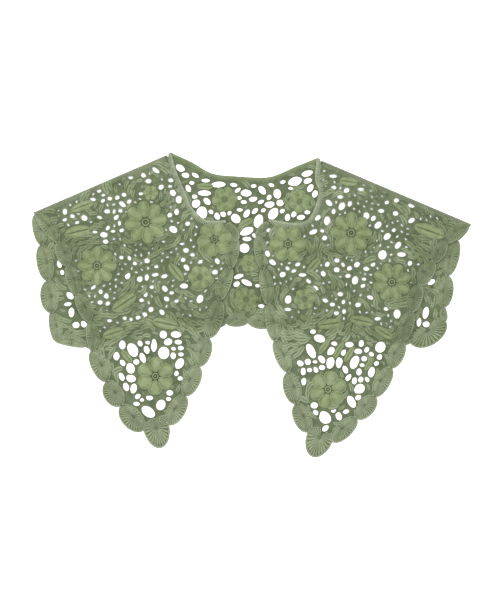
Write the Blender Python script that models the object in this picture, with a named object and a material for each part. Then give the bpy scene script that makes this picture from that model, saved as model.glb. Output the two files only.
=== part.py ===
"""A detachable lace collar, laid flat and folded over at both shoulders.

The back panel lies on the table. The two fronts lie on it, and their lapel points run past its
lower hem and come down to the table. A braid edges the neck, and a seam at each shoulder fold
joins the back to a front. Sizes in the tables are millimetres, seen from above: +X is the
wearer's left to the photo's right, +Y is towards the neck, and +Z is up.
"""

import math
from collections import namedtuple

import bpy
import numpy as np
from mathutils import Matrix, Vector
from mathutils.geometry import delaunay_2d_cdt

Row = namedtuple("Row", "x y edge bulge")
Flower = namedtuple("Flower", "x y radius petals turn")
Leaf = namedtuple("Leaf", "x y length width turn")
Gap = namedtuple("Gap", "x y length width turn")
PetalRing = namedtuple("PetalRing", "share shift height")

# Driving sizes, in millimetres
WALL = 1.2
RELIEF = 0.6
SEAM_GAP = 0.3
BRAID_WIDTH = 4.0
SEAM_WIDTH = 3.0
SEAM_START = 5.8
LAP_LIFT = WALL + RELIEF + SEAM_GAP
OVERALL_HEIGHT = LAP_LIFT + WALL + RELIEF

# How a front comes down to the table past the back's hem
LEVEL_PAST_HEM = 4.5
DROP_LENGTH = 14.0

# The lace ground: the least bar between gaps, and the least cloth along each kind of edge
LEAST_BAR = 2.2
EDGE_CLOTH = {"hem": 4.0, "neck": 1.5, "shoulder": 2.0}
UNDER_MARGIN = 0.8
SMALLEST_GAP = 4.0
MOST_GAPS = 300
GAP_CORNERS = 8
REACH_STEPS = 40
LEAST_REACH = 0.3
FARTHEST_NEIGHBOUR = 30.0
CLEAR_OF_GAPS = 0.8

# Raised points on the motifs and the hem, with their heights as shares of the relief
FLOWER_MIDDLE_HEIGHT = 0.25
PETAL_RINGS = [
    PetalRing(0.28, 0.5, 1.0),
    PetalRing(0.62, 0.0, 1.0),
    PetalRing(0.62, 0.5, 0.15),
]
LEAF_SHARES = (-0.3, 0.0, 0.3)
LEAF_HEIGHT = 0.9
HEM_ROW = 4.2
HEM_HEIGHT = 0.8
CREASE_SHARES = (0.25, 0.75)

# How finely curves are stepped, and when lines count as straight or points as one
LOBE_STEPS = 8
NECK_STEPS = 3
STRAIGHT_ON = 0.02
SAME_POINT = 1e-5

METRES = 0.001

# Each row is a corner, the kind of edge that runs on from it, and how far that edge bows out.
# The rows go round counter-clockwise. A hem edge is one scallop.
BACK_ROWS = [
    Row(-86.5, 158.0, "shoulder", 0.0),
    Row(-229.5, 91.5, "hem", 4.5),
    Row(-221.0, 57.5, "hem", 7.5),
    Row(-213.0, 20.0, "hem", 9.0),
    Row(-208.5, -13.5, "hem", 3.5),
    Row(-203.0, -43.0, "hem", 2.0),
    Row(-171.0, -48.0, "hem", 4.5),
    Row(-146.0, -37.5, "hem", 4.5),
    Row(-121.0, -31.0, "hem", 4.5),
    Row(-96.5, -25.0, "hem", 4.5),
    Row(-72.0, -22.5, "hem", 4.5),
    Row(-48.0, -22.5, "hem", 4.5),
    Row(-24.5, -18.5, "hem", 4.5),
    Row(-1.5, -17.0, "hem", 5.0),
    Row(21.5, -20.5, "hem", 4.5),
    Row(45.0, -20.5, "hem", 4.5),
    Row(68.0, -17.5, "hem", 4.5),
    Row(93.0, -22.0, "hem", 4.5),
    Row(118.5, -25.5, "hem", 4.5),
    Row(143.0, -28.0, "hem", 4.5),
    Row(169.0, -34.5, "hem", 14.5),
    Row(206.0, -10.0, "hem", 2.0),
    Row(203.5, 3.5, "hem", 7.5),
    Row(207.0, 37.0, "hem", 6.5),
    Row(215.5, 75.0, "hem", 2.0),
    Row(229.5, 92.0, "shoulder", 0.0),
    Row(65.5, 156.5, "neck", 0.0),
    Row(43.5, 147.0, "neck", 0.0),
    Row(27.0, 139.0, "neck", 0.0),
    Row(12.0, 134.8, "neck", 0.0),
    Row(-18.5, 135.3, "neck", 0.0),
    Row(-43.5, 137.5, "neck", 0.0),
    Row(-64.0, 148.3, "neck", 0.0),
]
LEFT_ROWS = [
    Row(-86.5, 158.0, "shoulder", 0.0),
    Row(-229.5, 91.5, "hem", 4.0),
    Row(-203.0, 60.0, "hem", 6.0),
    Row(-193.0, 36.0, "hem", 5.0),
    Row(-182.5, 6.0, "hem", 5.0),
    Row(-168.0, -22.0, "hem", 4.0),
    Row(-164.5, -52.0, "hem", 8.0),
    Row(-148.0, -84.0, "hem", 10.5),
    Row(-132.5, -109.0, "hem", 11.0),
    Row(-107.5, -134.0, "hem", 22.0),
    Row(-81.5, -127.5, "hem", 8.5),
    Row(-65.0, -96.5, "hem", 8.0),
    Row(-51.5, -65.5, "hem", 7.5),
    Row(-42.5, -35.5, "hem", 9.0),
    Row(-31.0, 4.5, "hem", 5.0),
    Row(-20.0, 38.5, "hem", 4.0),
    Row(-14.5, 68.0, "hem", 5.5),
    Row(-29.0, 89.0, "neck", 0.0),
    Row(-48.0, 88.5, "neck", 0.0),
    Row(-61.5, 99.0, "neck", 0.0),
    Row(-72.5, 121.0, "neck", 0.0),
    Row(-80.5, 139.0, "neck", 0.0),
]
RIGHT_ROWS = [
    Row(65.5, 156.5, "neck", 0.0),
    Row(64.0, 134.0, "neck", 0.0),
    Row(68.5, 120.0, "neck", 0.0),
    Row(62.5, 99.0, "neck", 0.0),
    Row(54.0, 89.5, "neck", 0.0),
    Row(37.0, 88.5, "neck", 0.0),
    Row(18.5, 91.5, "hem", 4.0),
    Row(5.0, 72.0, "hem", 5.0),
    Row(11.5, 39.0, "hem", 4.5),
    Row(18.0, 1.5, "hem", 5.0),
    Row(26.5, -36.5, "hem", 5.5),
    Row(41.5, -69.0, "hem", 8.5),
    Row(51.0, -102.0, "hem", 8.5),
    Row(64.5, -131.0, "hem", 22.5),
    Row(90.5, -140.5, "hem", 7.5),
    Row(115.5, -115.5, "hem", 8.5),
    Row(134.5, -92.0, "hem", 6.5),
    Row(150.5, -61.5, "hem", 7.0),
    Row(161.5, -33.0, "hem", 6.0),
    Row(170.0, -2.5, "hem", 6.0),
    Row(178.5, 26.0, "hem", 6.0),
    Row(192.0, 50.5, "hem", 5.0),
    Row(204.0, 71.0, "hem", 4.0),
    Row(229.5, 92.0, "shoulder", 0.0),
]

# The motifs: a flower is a ring of petals round its middle, and a leaf is a long oval.
BACK_FLOWERS = [
    Flower(-29.5, 110.5, 13.0, 6, 10.0),
    Flower(49.0, 110.5, 11.5, 6, 20.0),
    Flower(-4.0, 6.0, 12.5, 8, 10.0),
    Flower(-2.0, 44.0, 9.0, 6, 0.0),
    Flower(-182.0, 58.0, 16.0, 8, 20.0),
    Flower(180.0, 64.0, 15.0, 8, 0.0),
    Flower(166.0, 8.0, 11.0, 6, 10.0),
    Flower(66.0, 58.0, 13.0, 6, 0.0),
]
BACK_LEAVES = [
    Leaf(-50.5, 123.5, 16.0, 6.0, 0.0),
    Leaf(-6.5, 86.5, 15.0, 6.0, 30.0),
    Leaf(-114.0, 94.0, 30.0, 12.0, 30.0),
    Leaf(108.0, 72.0, 30.0, 12.0, -30.0),
    Leaf(56.0, 10.0, 26.0, 11.0, -60.0),
    Leaf(-133.0, -5.0, 24.0, 9.0, -20.0),
]
LEFT_FLOWERS = [
    Flower(-111.5, 84.0, 22.0, 8, 10.0),
    Flower(-161.0, 37.0, 20.0, 8, 0.0),
    Flower(-39.0, 68.0, 18.0, 6, 15.0),
    Flower(-97.0, -77.0, 19.5, 6, 30.0),
    Flower(-107.0, 115.0, 7.5, 6, 0.0),
    Flower(-53.0, 28.0, 12.0, 6, 0.0),
]
LEFT_LEAVES = [
    Leaf(-131.5, -1.0, 28.0, 11.0, 35.0),
    Leaf(-178.0, 99.0, 24.0, 8.0, 22.0),
    Leaf(-183.0, 72.0, 26.0, 11.0, 15.0),
    Leaf(-78.0, 32.5, 22.0, 8.0, -50.0),
    Leaf(-88.0, -21.5, 26.0, 10.0, -10.0),
    Leaf(-142.0, -33.0, 22.0, 9.0, 20.0),
    Leaf(-127.5, -57.0, 15.0, 5.5, -48.0),
]
RIGHT_FLOWERS = [
    Flower(104.0, 79.0, 21.5, 8, 0.0),
    Flower(148.0, 28.5, 20.0, 8, 20.0),
    Flower(38.0, 65.5, 19.0, 6, 0.0),
    Flower(84.5, -86.0, 19.5, 6, 19.0),
    Flower(57.0, 8.0, 11.0, 6, 10.0),
]
RIGHT_LEAVES = [
    Leaf(118.0, -13.0, 24.0, 9.0, -10.0),
    Leaf(186.0, 83.0, 32.0, 12.0, -18.0),
    Leaf(66.0, 44.0, 18.0, 7.0, 50.0),
    Leaf(84.0, -17.0, 24.0, 9.0, 10.0),
    Leaf(141.0, -24.5, 20.0, 8.0, -30.0),
    Leaf(100.0, 132.5, 18.0, 8.0, -8.0),
    Leaf(79.0, -41.0, 18.0, 5.0, 57.0),
    Leaf(94.5, -44.5, 19.0, 5.0, 60.0),
    Leaf(105.5, -48.5, 17.0, 5.0, 60.0),
    Leaf(127.0, -58.0, 15.0, 4.5, 55.0),
]

# The gaps of one layer: those of the back beside the fronts, and of the lapel points
NECK_GAPS = [
    Gap(-77.0, 142.0, 9.5, 5.6, -35.0),
    Gap(-71.5, 135.0, 7.5, 4.6, -15.0),
    Gap(-61.0, 135.0, 7.0, 3.2, -30.0),
    Gap(-50.0, 129.8, 8.0, 3.0, 0.0),
    Gap(-64.5, 127.0, 4.6, 3.0, 0.0),
    Gap(-68.0, 121.0, 7.0, 4.2, -60.0),
    Gap(-36.5, 126.0, 14.0, 5.2, 5.0),
    Gap(-20.5, 126.0, 7.0, 3.0, -5.0),
    Gap(-15.5, 120.5, 7.0, 3.6, 30.0),
    Gap(-51.0, 116.6, 13.0, 5.0, 0.0),
    Gap(-61.0, 112.5, 5.0, 4.0, 0.0),
    Gap(-59.5, 105.5, 8.5, 7.5, 60.0),
    Gap(-48.0, 108.0, 8.0, 4.8, -45.0),
    Gap(-53.0, 96.0, 12.0, 10.5, 90.0),
    Gap(-24.0, 96.0, 5.0, 3.6, 30.0),
    Gap(-37.0, 93.0, 7.0, 4.8, -60.0),
    Gap(-30.5, 95.0, 6.0, 4.6, -20.0),
    Gap(-43.5, 97.0, 5.0, 3.4, -30.0),
    Gap(-7.5, 118.0, 11.0, 6.4, -5.0),
    Gap(-14.5, 112.5, 4.6, 2.8, 0.0),
    Gap(-9.0, 108.5, 6.4, 3.2, 5.0),
    Gap(0.0, 111.5, 8.6, 4.2, 15.0),
    Gap(8.5, 109.0, 6.0, 3.0, 25.0),
    Gap(9.5, 121.3, 9.5, 5.4, -50.0),
    Gap(0.5, 125.5, 5.0, 2.8, 10.0),
    Gap(19.0, 127.0, 5.0, 2.8, -20.0),
    Gap(25.5, 118.0, 9.0, 7.0, -80.0),
    Gap(17.0, 114.0, 5.0, 3.6, 60.0),
    Gap(17.5, 106.3, 10.0, 5.8, 15.0),
    Gap(28.5, 108.5, 7.0, 5.8, 0.0),
    Gap(11.5, 100.5, 5.0, 3.0, 40.0),
    Gap(22.0, 97.0, 13.0, 8.5, 55.0),
    Gap(6.5, 88.5, 14.0, 8.4, 75.0),
    Gap(2.5, 99.3, 7.0, 3.6, 45.0),
    Gap(-6.0, 96.5, 8.5, 4.8, 60.0),
    Gap(-13.5, 100.0, 5.4, 2.6, 0.0),
    Gap(-17.5, 91.0, 10.5, 7.6, -40.0),
    Gap(-5.5, 77.8, 14.0, 7.0, 25.0),
    Gap(-5.0, 69.8, 8.4, 3.8, 0.0),
    Gap(-7.5, 60.0, 9.6, 8.8, 0.0),
    Gap(3.0, 73.5, 4.6, 3.4, -30.0),
    Gap(44.0, 131.5, 15.0, 8.4, 25.0),
    Gap(56.0, 140.0, 12.0, 5.2, 20.0),
    Gap(57.0, 132.5, 8.2, 4.6, 20.0),
    Gap(60.0, 125.0, 8.0, 4.8, 60.0),
    Gap(39.5, 124.5, 5.4, 3.0, 0.0),
    Gap(31.0, 130.5, 5.0, 2.8, 20.0),
    Gap(65.0, 119.0, 7.0, 4.6, 70.0),
    Gap(37.0, 93.5, 6.5, 4.6, 80.0),
    Gap(43.5, 97.0, 6.0, 4.0, 60.0),
    Gap(51.0, 94.0, 7.5, 4.2, 10.0),
    Gap(31.0, 100.0, 5.0, 3.4, 30.0),
    Gap(57.5, 99.5, 5.0, 3.2, 0.0),
    Gap(-12.5, 30.0, 9.4, 4.0, 20.0),
    Gap(-14.5, 22.0, 6.0, 4.2, 30.0),
    Gap(-4.0, 23.8, 11.0, 4.6, -25.0),
    Gap(7.5, 21.0, 4.4, 2.6, 0.0),
    Gap(12.0, -0.2, 5.6, 2.8, 0.0),
    Gap(-201.0, 38.0, 8.0, 4.2, -75.0),
    Gap(-198.0, 29.5, 5.0, 3.2, -75.0),
    Gap(-189.0, 5.0, 8.0, 5.0, -45.0),
    Gap(-191.0, -4.0, 7.0, 3.0, 10.0),
    Gap(-187.0, -12.5, 9.0, 5.0, 90.0),
    Gap(-181.5, -25.5, 7.4, 5.4, 10.0),
    Gap(-174.0, -24.5, 6.8, 5.4, -30.0),
    Gap(189.5, 30.0, 8.0, 4.6, 25.0),
    Gap(184.8, -2.5, 12.0, 5.4, 80.0),
    Gap(185.5, -14.5, 6.2, 5.2, 0.0),
    Gap(178.0, -12.5, 8.6, 3.8, 85.0),
]
LEFT_POINT_GAPS = [
    Gap(-138.5, -57.0, 8.0, 5.4, 90.0),
    Gap(-132.5, -45.0, 8.6, 6.0, 90.0),
    Gap(-121.5, -50.0, 14.5, 9.5, -60.0),
    Gap(-114.0, -43.0, 5.6, 4.4, -60.0),
    Gap(-106.0, -42.0, 4.6, 3.2, 0.0),
    Gap(-107.0, -49.5, 7.6, 4.8, -70.0),
    Gap(-99.5, -44.5, 13.0, 5.4, 90.0),
    Gap(-89.8, -33.0, 7.4, 6.8, 90.0),
    Gap(-76.5, -32.5, 10.4, 6.2, 0.0),
    Gap(-84.5, -40.5, 8.4, 6.0, 20.0),
    Gap(-74.0, -40.5, 7.0, 4.0, 0.0),
    Gap(-78.5, -47.5, 4.6, 3.0, 0.0),
    Gap(-71.5, -46.7, 6.0, 3.6, 0.0),
    Gap(-89.0, -52.3, 12.0, 10.6, 90.0),
    Gap(-79.0, -55.0, 6.0, 4.6, 90.0),
    Gap(-70.8, -53.3, 4.6, 3.2, 0.0),
    Gap(-72.0, -63.0, 11.0, 7.2, 60.0),
    Gap(-75.0, -73.5, 4.6, 3.4, 70.0),
    Gap(-71.0, -78.5, 4.4, 3.4, 0.0),
    Gap(-111.0, -58.0, 10.0, 5.0, -65.0),
    Gap(-117.5, -62.5, 5.4, 4.6, 0.0),
    Gap(-131.8, -64.0, 6.4, 4.0, -50.0),
    Gap(-123.5, -69.5, 10.5, 7.8, -70.0),
    Gap(-132.5, -78.5, 8.0, 4.6, -60.0),
    Gap(-122.5, -80.0, 9.4, 7.0, -20.0),
    Gap(-127.5, -89.0, 8.0, 5.0, -70.0),
    Gap(-119.5, -90.5, 9.6, 5.8, 80.0),
    Gap(-115.5, -99.0, 7.0, 3.8, 35.0),
    Gap(-121.0, -101.8, 4.4, 2.8, 30.0),
    Gap(-103.0, -100.0, 7.4, 3.8, 0.0),
    Gap(-110.0, -102.0, 4.6, 2.8, 20.0),
    Gap(-116.0, -106.5, 6.0, 3.4, 0.0),
    Gap(-103.5, -114.5, 15.0, 9.0, -35.0),
    Gap(-90.5, -107.0, 10.4, 8.4, 65.0),
    Gap(-81.5, -94.0, 6.0, 4.8, 0.0),
    Gap(-82.5, -100.5, 4.4, 3.2, 0.0),
]
RIGHT_POINT_GAPS = [
    Gap(67.0, -25.5, 5.2, 4.0, 0.0),
    Gap(74.0, -32.5, 11.0, 7.2, -15.0),
    Gap(65.5, -46.0, 15.5, 7.2, -62.0),
    Gap(89.5, -38.0, 5.8, 4.6, 0.0),
    Gap(86.5, -45.5, 10.0, 5.6, 65.0),
    Gap(77.0, -54.5, 8.4, 5.2, -50.0),
    Gap(55.0, -59.5, 7.4, 4.8, -35.0),
    Gap(62.5, -57.5, 5.8, 5.4, 0.0),
    Gap(58.0, -67.5, 8.6, 4.4, 90.0),
    Gap(70.0, -57.0, 4.4, 2.8, 0.0),
    Gap(64.5, -66.0, 4.6, 3.4, 0.0),
    Gap(71.0, -65.5, 5.4, 4.2, -60.0),
    Gap(77.5, -63.0, 5.6, 4.2, 0.0),
    Gap(86.0, -57.5, 12.0, 7.6, 80.0),
    Gap(95.5, -57.0, 11.4, 6.0, 85.0),
    Gap(105.5, -38.0, 8.0, 5.0, 0.0),
    Gap(99.5, -47.0, 7.0, 3.6, 60.0),
    Gap(118.0, -36.5, 6.4, 4.6, 80.0),
    Gap(115.0, -45.0, 7.0, 5.0, 0.0),
    Gap(111.5, -56.5, 13.6, 7.8, 68.0),
    Gap(124.0, -43.0, 5.2, 4.0, 60.0),
    Gap(129.0, -47.5, 4.6, 3.4, -40.0),
    Gap(138.0, -39.8, 11.0, 9.6, 60.0),
    Gap(137.5, -50.5, 5.6, 4.2, 60.0),
    Gap(134.5, -57.0, 5.2, 3.6, 45.0),
    Gap(121.5, -52.5, 5.0, 4.4, 0.0),
    Gap(119.5, -59.3, 4.4, 2.8, 0.0),
    Gap(102.0, -64.5, 8.0, 4.4, -65.0),
    Gap(105.5, -72.5, 7.6, 4.2, 60.0),
    Gap(116.5, -66.5, 6.4, 4.6, 80.0),
    Gap(129.5, -66.5, 10.6, 5.8, 75.0),
    Gap(125.5, -74.0, 5.0, 4.0, -60.0),
    Gap(112.0, -76.0, 6.6, 4.4, 80.0),
    Gap(118.5, -74.5, 5.4, 4.4, 60.0),
    Gap(117.5, -84.5, 11.0, 9.0, 50.0),
    Gap(109.5, -98.0, 12.6, 7.0, -60.0),
    Gap(116.5, -93.0, 6.4, 4.6, 50.0),
    Gap(70.5, -103.0, 6.6, 5.6, 0.0),
    Gap(58.8, -78.0, 7.6, 4.2, 90.0),
    Gap(82.0, -115.5, 14.0, 10.5, -50.0),
    Gap(72.5, -110.5, 6.0, 3.8, -40.0),
    Gap(83.0, -126.5, 7.4, 4.4, 50.0),
    Gap(91.0, -108.0, 4.6, 3.2, 0.0),
    Gap(96.5, -113.5, 8.0, 5.4, -70.0),
    Gap(104.0, -108.5, 5.6, 3.4, 20.0),
]

# The gaps that pass through a front and the back below it
LEFT_THROUGH_GAPS = [
    Gap(-102.5, 139.0, 9.0, 4.2, -35.0),
    Gap(-115.5, 133.5, 6.0, 4.4, -30.0),
    Gap(-110.0, 127.5, 6.2, 5.0, 0.0),
    Gap(-128.5, 130.5, 5.6, 3.0, 0.0),
    Gap(-86.5, 129.0, 5.6, 4.2, 0.0),
    Gap(-96.5, 121.5, 6.0, 4.8, 45.0),
    Gap(-87.0, 122.5, 4.6, 3.0, 0.0),
    Gap(-84.0, 116.0, 7.2, 6.0, -60.0),
    Gap(-77.5, 109.0, 8.0, 6.6, 90.0),
    Gap(-117.5, 114.0, 5.0, 3.2, 0.0),
    Gap(-161.5, 116.0, 5.6, 4.4, -45.0),
    Gap(-157.0, 111.5, 4.6, 3.2, 0.0),
    Gap(-167.5, 106.5, 6.2, 3.6, 0.0),
    Gap(-157.0, 105.5, 5.0, 3.6, 45.0),
    Gap(-150.0, 108.0, 5.2, 4.0, 0.0),
    Gap(-142.0, 109.0, 5.2, 4.4, 45.0),
    Gap(-135.0, 112.5, 5.2, 4.2, 0.0),
    Gap(-129.5, 105.5, 5.4, 4.0, 45.0),
    Gap(-136.5, 102.5, 8.0, 4.6, -35.0),
    Gap(-138.5, 95.5, 4.6, 4.0, 0.0),
    Gap(-152.0, 94.5, 7.0, 4.4, 0.0),
    Gap(-145.5, 94.5, 5.0, 3.8, 60.0),
    Gap(-142.5, 88.5, 6.4, 4.2, 50.0),
    Gap(-139.0, 82.5, 5.4, 3.2, 90.0),
    Gap(-196.5, 93.0, 6.4, 4.6, 90.0),
    Gap(-188.5, 88.5, 5.0, 4.0, -30.0),
    Gap(-196.5, 84.5, 5.0, 3.4, 20.0),
    Gap(-176.0, 87.0, 6.8, 5.6, -30.0),
    Gap(-183.5, 82.0, 4.8, 3.0, 15.0),
    Gap(-160.0, 88.0, 6.0, 2.8, -15.0),
    Gap(-155.0, 70.0, 8.0, 5.8, 0.0),
    Gap(-151.0, 77.0, 5.6, 3.8, 60.0),
    Gap(-145.5, 73.8, 5.0, 3.0, 0.0),
    Gap(-153.0, 62.8, 6.0, 4.4, 0.0),
    Gap(-164.5, 72.5, 5.2, 3.2, 0.0),
    Gap(-136.5, 75.0, 5.0, 4.0, 30.0),
    Gap(-86.5, 92.5, 5.4, 4.6, 45.0),
    Gap(-79.5, 96.0, 6.6, 5.0, 90.0),
    Gap(-82.5, 77.5, 9.0, 6.6, -30.0),
    Gap(-67.5, 84.0, 5.6, 4.4, 30.0),
    Gap(-73.0, 63.0, 5.0, 3.2, 0.0),
    Gap(-164.5, 14.5, 6.6, 3.4, 40.0),
    Gap(-156.5, 10.0, 5.6, 4.4, -40.0),
    Gap(-151.0, 6.0, 6.4, 5.0, -60.0),
    Gap(-157.0, -1.0, 5.6, 4.6, 0.0),
    Gap(-149.0, -2.0, 5.2, 4.2, 30.0),
    Gap(-146.5, -20.0, 5.2, 3.2, 0.0),
    Gap(-129.0, 27.5, 7.0, 5.6, 70.0),
    Gap(-122.0, 41.0, 5.6, 4.2, -20.0),
    Gap(-127.5, 46.0, 6.0, 3.4, -60.0),
    Gap(-136.0, 46.5, 4.8, 3.8, 0.0),
    Gap(-109.0, 44.0, 5.8, 5.2, 0.0),
    Gap(-116.0, 24.5, 6.4, 5.4, 45.0),
    Gap(-108.8, 26.5, 7.2, 4.6, 80.0),
    Gap(-100.0, 29.5, 7.2, 3.8, 10.0),
    Gap(-90.5, 28.2, 7.2, 4.0, 15.0),
    Gap(-99.0, 38.0, 4.8, 3.2, 10.0),
    Gap(-89.5, 15.0, 7.2, 5.0, -50.0),
    Gap(-82.5, 11.0, 5.2, 3.4, 0.0),
    Gap(-103.0, 16.5, 5.2, 3.8, 10.0),
    Gap(-109.5, 8.5, 6.0, 4.0, 75.0),
    Gap(-113.5, 2.5, 5.2, 4.0, 10.0),
    Gap(-87.5, 4.5, 6.0, 4.8, -30.0),
    Gap(-77.0, 2.5, 5.0, 3.4, 20.0),
    Gap(-103.5, -7.0, 5.8, 5.0, 30.0),
    Gap(-110.0, -12.5, 5.6, 4.6, -20.0),
    Gap(-117.0, -16.0, 6.2, 4.0, 20.0),
    Gap(-124.0, -18.0, 5.0, 3.8, 10.0),
    Gap(-130.5, -17.0, 4.8, 3.6, 0.0),
    Gap(-92.0, -9.5, 6.4, 4.6, -50.0),
    Gap(-69.5, 18.5, 8.6, 5.2, 0.0),
    Gap(-67.5, 38.0, 7.2, 4.8, -50.0),
    Gap(-71.5, 46.0, 5.6, 4.6, 0.0),
    Gap(-68.5, 56.0, 5.8, 5.0, 0.0),
    Gap(-61.5, 51.5, 5.2, 3.6, 0.0),
    Gap(-52.5, 5.5, 9.0, 6.6, 65.0),
    Gap(-53.0, 44.5, 5.6, 3.6, 30.0),
    Gap(-35.5, 45.5, 6.4, 4.4, -60.0),
    Gap(-37.5, 34.0, 6.0, 5.0, 20.0),
]
RIGHT_THROUGH_GAPS = [
    Gap(17.5, 79.5, 5.2, 4.4, 0.0),
    Gap(17.0, 55.0, 6.8, 5.2, -70.0),
    Gap(22.5, 46.0, 8.0, 5.0, -35.0),
    Gap(33.5, 33.5, 6.6, 5.6, 30.0),
    Gap(38.5, 40.0, 5.0, 3.8, -40.0),
    Gap(45.0, 37.5, 6.0, 3.4, 20.0),
    Gap(49.0, 44.5, 5.6, 3.8, 30.0),
    Gap(54.5, 33.5, 8.6, 3.8, 0.0),
    Gap(61.0, 27.0, 7.0, 3.6, -45.0),
    Gap(68.0, 20.5, 8.0, 3.8, -30.0),
    Gap(40.0, 7.5, 8.8, 6.6, 80.0),
    Gap(40.0, -3.0, 7.0, 3.4, 0.0),
    Gap(64.5, 79.0, 9.2, 4.8, 25.0),
    Gap(73.5, 80.5, 5.0, 3.6, -20.0),
    Gap(83.5, 138.0, 8.0, 3.6, 0.0),
    Gap(98.0, 123.5, 6.4, 4.8, 30.0),
    Gap(113.0, 125.0, 6.6, 3.4, 0.0),
    Gap(84.5, 126.0, 5.2, 4.2, 0.0),
    Gap(91.5, 116.5, 6.2, 3.8, 0.0),
    Gap(93.5, 106.8, 8.8, 6.0, 60.0),
    Gap(101.8, 109.5, 6.2, 4.2, 70.0),
    Gap(80.0, 110.0, 8.0, 5.2, -40.0),
    Gap(85.0, 101.0, 5.6, 4.2, 80.0),
    Gap(78.5, 91.0, 9.4, 6.4, 85.0),
    Gap(68.5, 94.0, 7.4, 4.8, 40.0),
    Gap(119.5, 97.5, 7.4, 6.0, 90.0),
    Gap(127.0, 95.0, 6.0, 4.8, 50.0),
    Gap(132.0, 88.0, 8.8, 5.8, 45.0),
    Gap(135.0, 103.0, 6.6, 4.0, 0.0),
    Gap(150.0, 100.8, 5.8, 4.8, 0.0),
    Gap(142.0, 76.5, 9.2, 5.8, 45.0),
    Gap(148.5, 83.0, 5.2, 3.6, 40.0),
    Gap(166.5, 109.5, 7.0, 4.2, -10.0),
    Gap(143.0, 119.5, 5.6, 4.6, 45.0),
    Gap(150.5, 114.5, 5.4, 4.4, 20.0),
    Gap(140.5, 112.0, 5.0, 3.6, 30.0),
    Gap(167.0, 94.0, 7.6, 4.6, 35.0),
    Gap(153.5, 67.5, 8.4, 5.2, 55.0),
    Gap(76.5, 73.0, 5.8, 4.6, 30.0),
    Gap(137.5, 57.0, 10.0, 8.6, 70.0),
    Gap(157.5, 58.0, 9.2, 4.8, 0.0),
    Gap(166.5, 49.0, 5.6, 4.4, 60.0),
    Gap(111.0, 46.0, 7.0, 5.2, 40.0),
    Gap(103.5, 42.0, 6.0, 4.4, 30.0),
    Gap(121.0, 42.0, 6.6, 4.2, 0.0),
    Gap(128.0, 46.5, 5.6, 3.6, 30.0),
    Gap(90.0, 50.0, 5.6, 5.0, 0.0),
    Gap(96.5, 45.5, 5.0, 3.4, -50.0),
    Gap(90.0, 40.0, 6.2, 5.2, 0.0),
    Gap(80.0, 45.5, 5.6, 4.6, 45.0),
    Gap(76.0, 35.5, 6.0, 5.0, -60.0),
    Gap(102.0, 34.0, 6.0, 4.2, 10.0),
    Gap(109.5, 29.5, 8.8, 6.4, 80.0),
    Gap(119.0, 31.0, 4.8, 3.4, 0.0),
    Gap(118.0, 24.0, 5.4, 3.8, 30.0),
    Gap(126.0, 12.0, 7.0, 4.2, -20.0),
    Gap(94.5, 14.5, 5.8, 4.4, 0.0),
    Gap(79.0, 7.5, 6.0, 4.0, -20.0),
    Gap(86.5, 3.5, 5.6, 4.0, 10.0),
    Gap(98.0, 6.5, 4.8, 3.8, 60.0),
    Gap(113.5, 4.0, 6.4, 4.6, 20.0),
    Gap(143.0, 0.5, 5.4, 4.2, 0.0),
    Gap(154.5, -4.5, 9.6, 7.2, 90.0),
    Gap(134.5, -10.0, 7.0, 3.8, 10.0),
    Gap(91.0, -5.5, 5.4, 4.0, 0.0),
    Gap(99.0, -3.5, 5.0, 4.0, 90.0),
]

LACE_GREEN = (0.246, 0.292, 0.176, 1.0)
TRIM_GREEN = (0.205, 0.250, 0.150, 1.0)


def clear_scene():
    """Remove whatever the scene holds."""
    for thing in list(bpy.data.objects):
        bpy.data.objects.remove(thing, do_unlink=True)


def cotton(name, colour):
    """A matt cotton material."""
    material = bpy.data.materials.new(name)
    material.use_nodes = True
    shader = material.node_tree.nodes["Principled BSDF"]
    shader.inputs["Base Color"].default_value = colour
    shader.inputs["Roughness"].default_value = 0.85
    shader.inputs["Metallic"].default_value = 0.0
    return material


def with_smooth_necks(rows):
    """The rows, with points added along each run of neck edges on a curve through its corners."""
    count = len(rows)
    found = []
    for index, row in enumerate(rows):
        found.append(row)
        if row.edge != "neck":
            continue
        after = rows[(index + 1) % count]
        before = rows[index - 1] if rows[index - 1].edge == "neck" else None
        beyond = rows[(index + 2) % count] if after.edge == "neck" else None
        start, end = np.array(row[:2]), np.array(after[:2])
        start_slope = (end - np.array(before[:2])) / 2 if before else end - start
        end_slope = (np.array(beyond[:2]) - start) / 2 if beyond else end - start
        for step in range(1, NECK_STEPS):
            t = step / NECK_STEPS
            point = (
                start * (2 * t**3 - 3 * t**2 + 1)
                + end * (3 * t**2 - 2 * t**3)
                + start_slope * (t**3 - 2 * t**2 + t)
                + end_slope * (t**3 - t**2)
            )
            found.append(Row(point[0], point[1], "neck", 0.0))
    return found


def inset(rows, amounts):
    """The rows with each kind of edge moved in by its own amount, and the corners where they meet."""
    points = np.array([row[:2] for row in rows])
    along = np.roll(points, -1, axis=0) - points
    along /= np.linalg.norm(along, axis=1)[:, None]
    inward = np.stack([-along[:, 1], along[:, 0]], axis=1)
    moves = np.array([amounts.get(row.edge, 0.0) for row in rows])
    found = []
    for index, row in enumerate(rows):
        sides = np.stack([inward[index - 1], inward[index]])
        wanted = np.array([moves[index - 1], moves[index]])
        if abs(np.linalg.det(sides)) < STRAIGHT_ON:
            shift = inward[index] * moves[index]
        else:
            shift = np.linalg.solve(sides, wanted)
        found.append(Row(row.x + shift[0], row.y + shift[1], row.edge, row.bulge))
    return found


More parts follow.
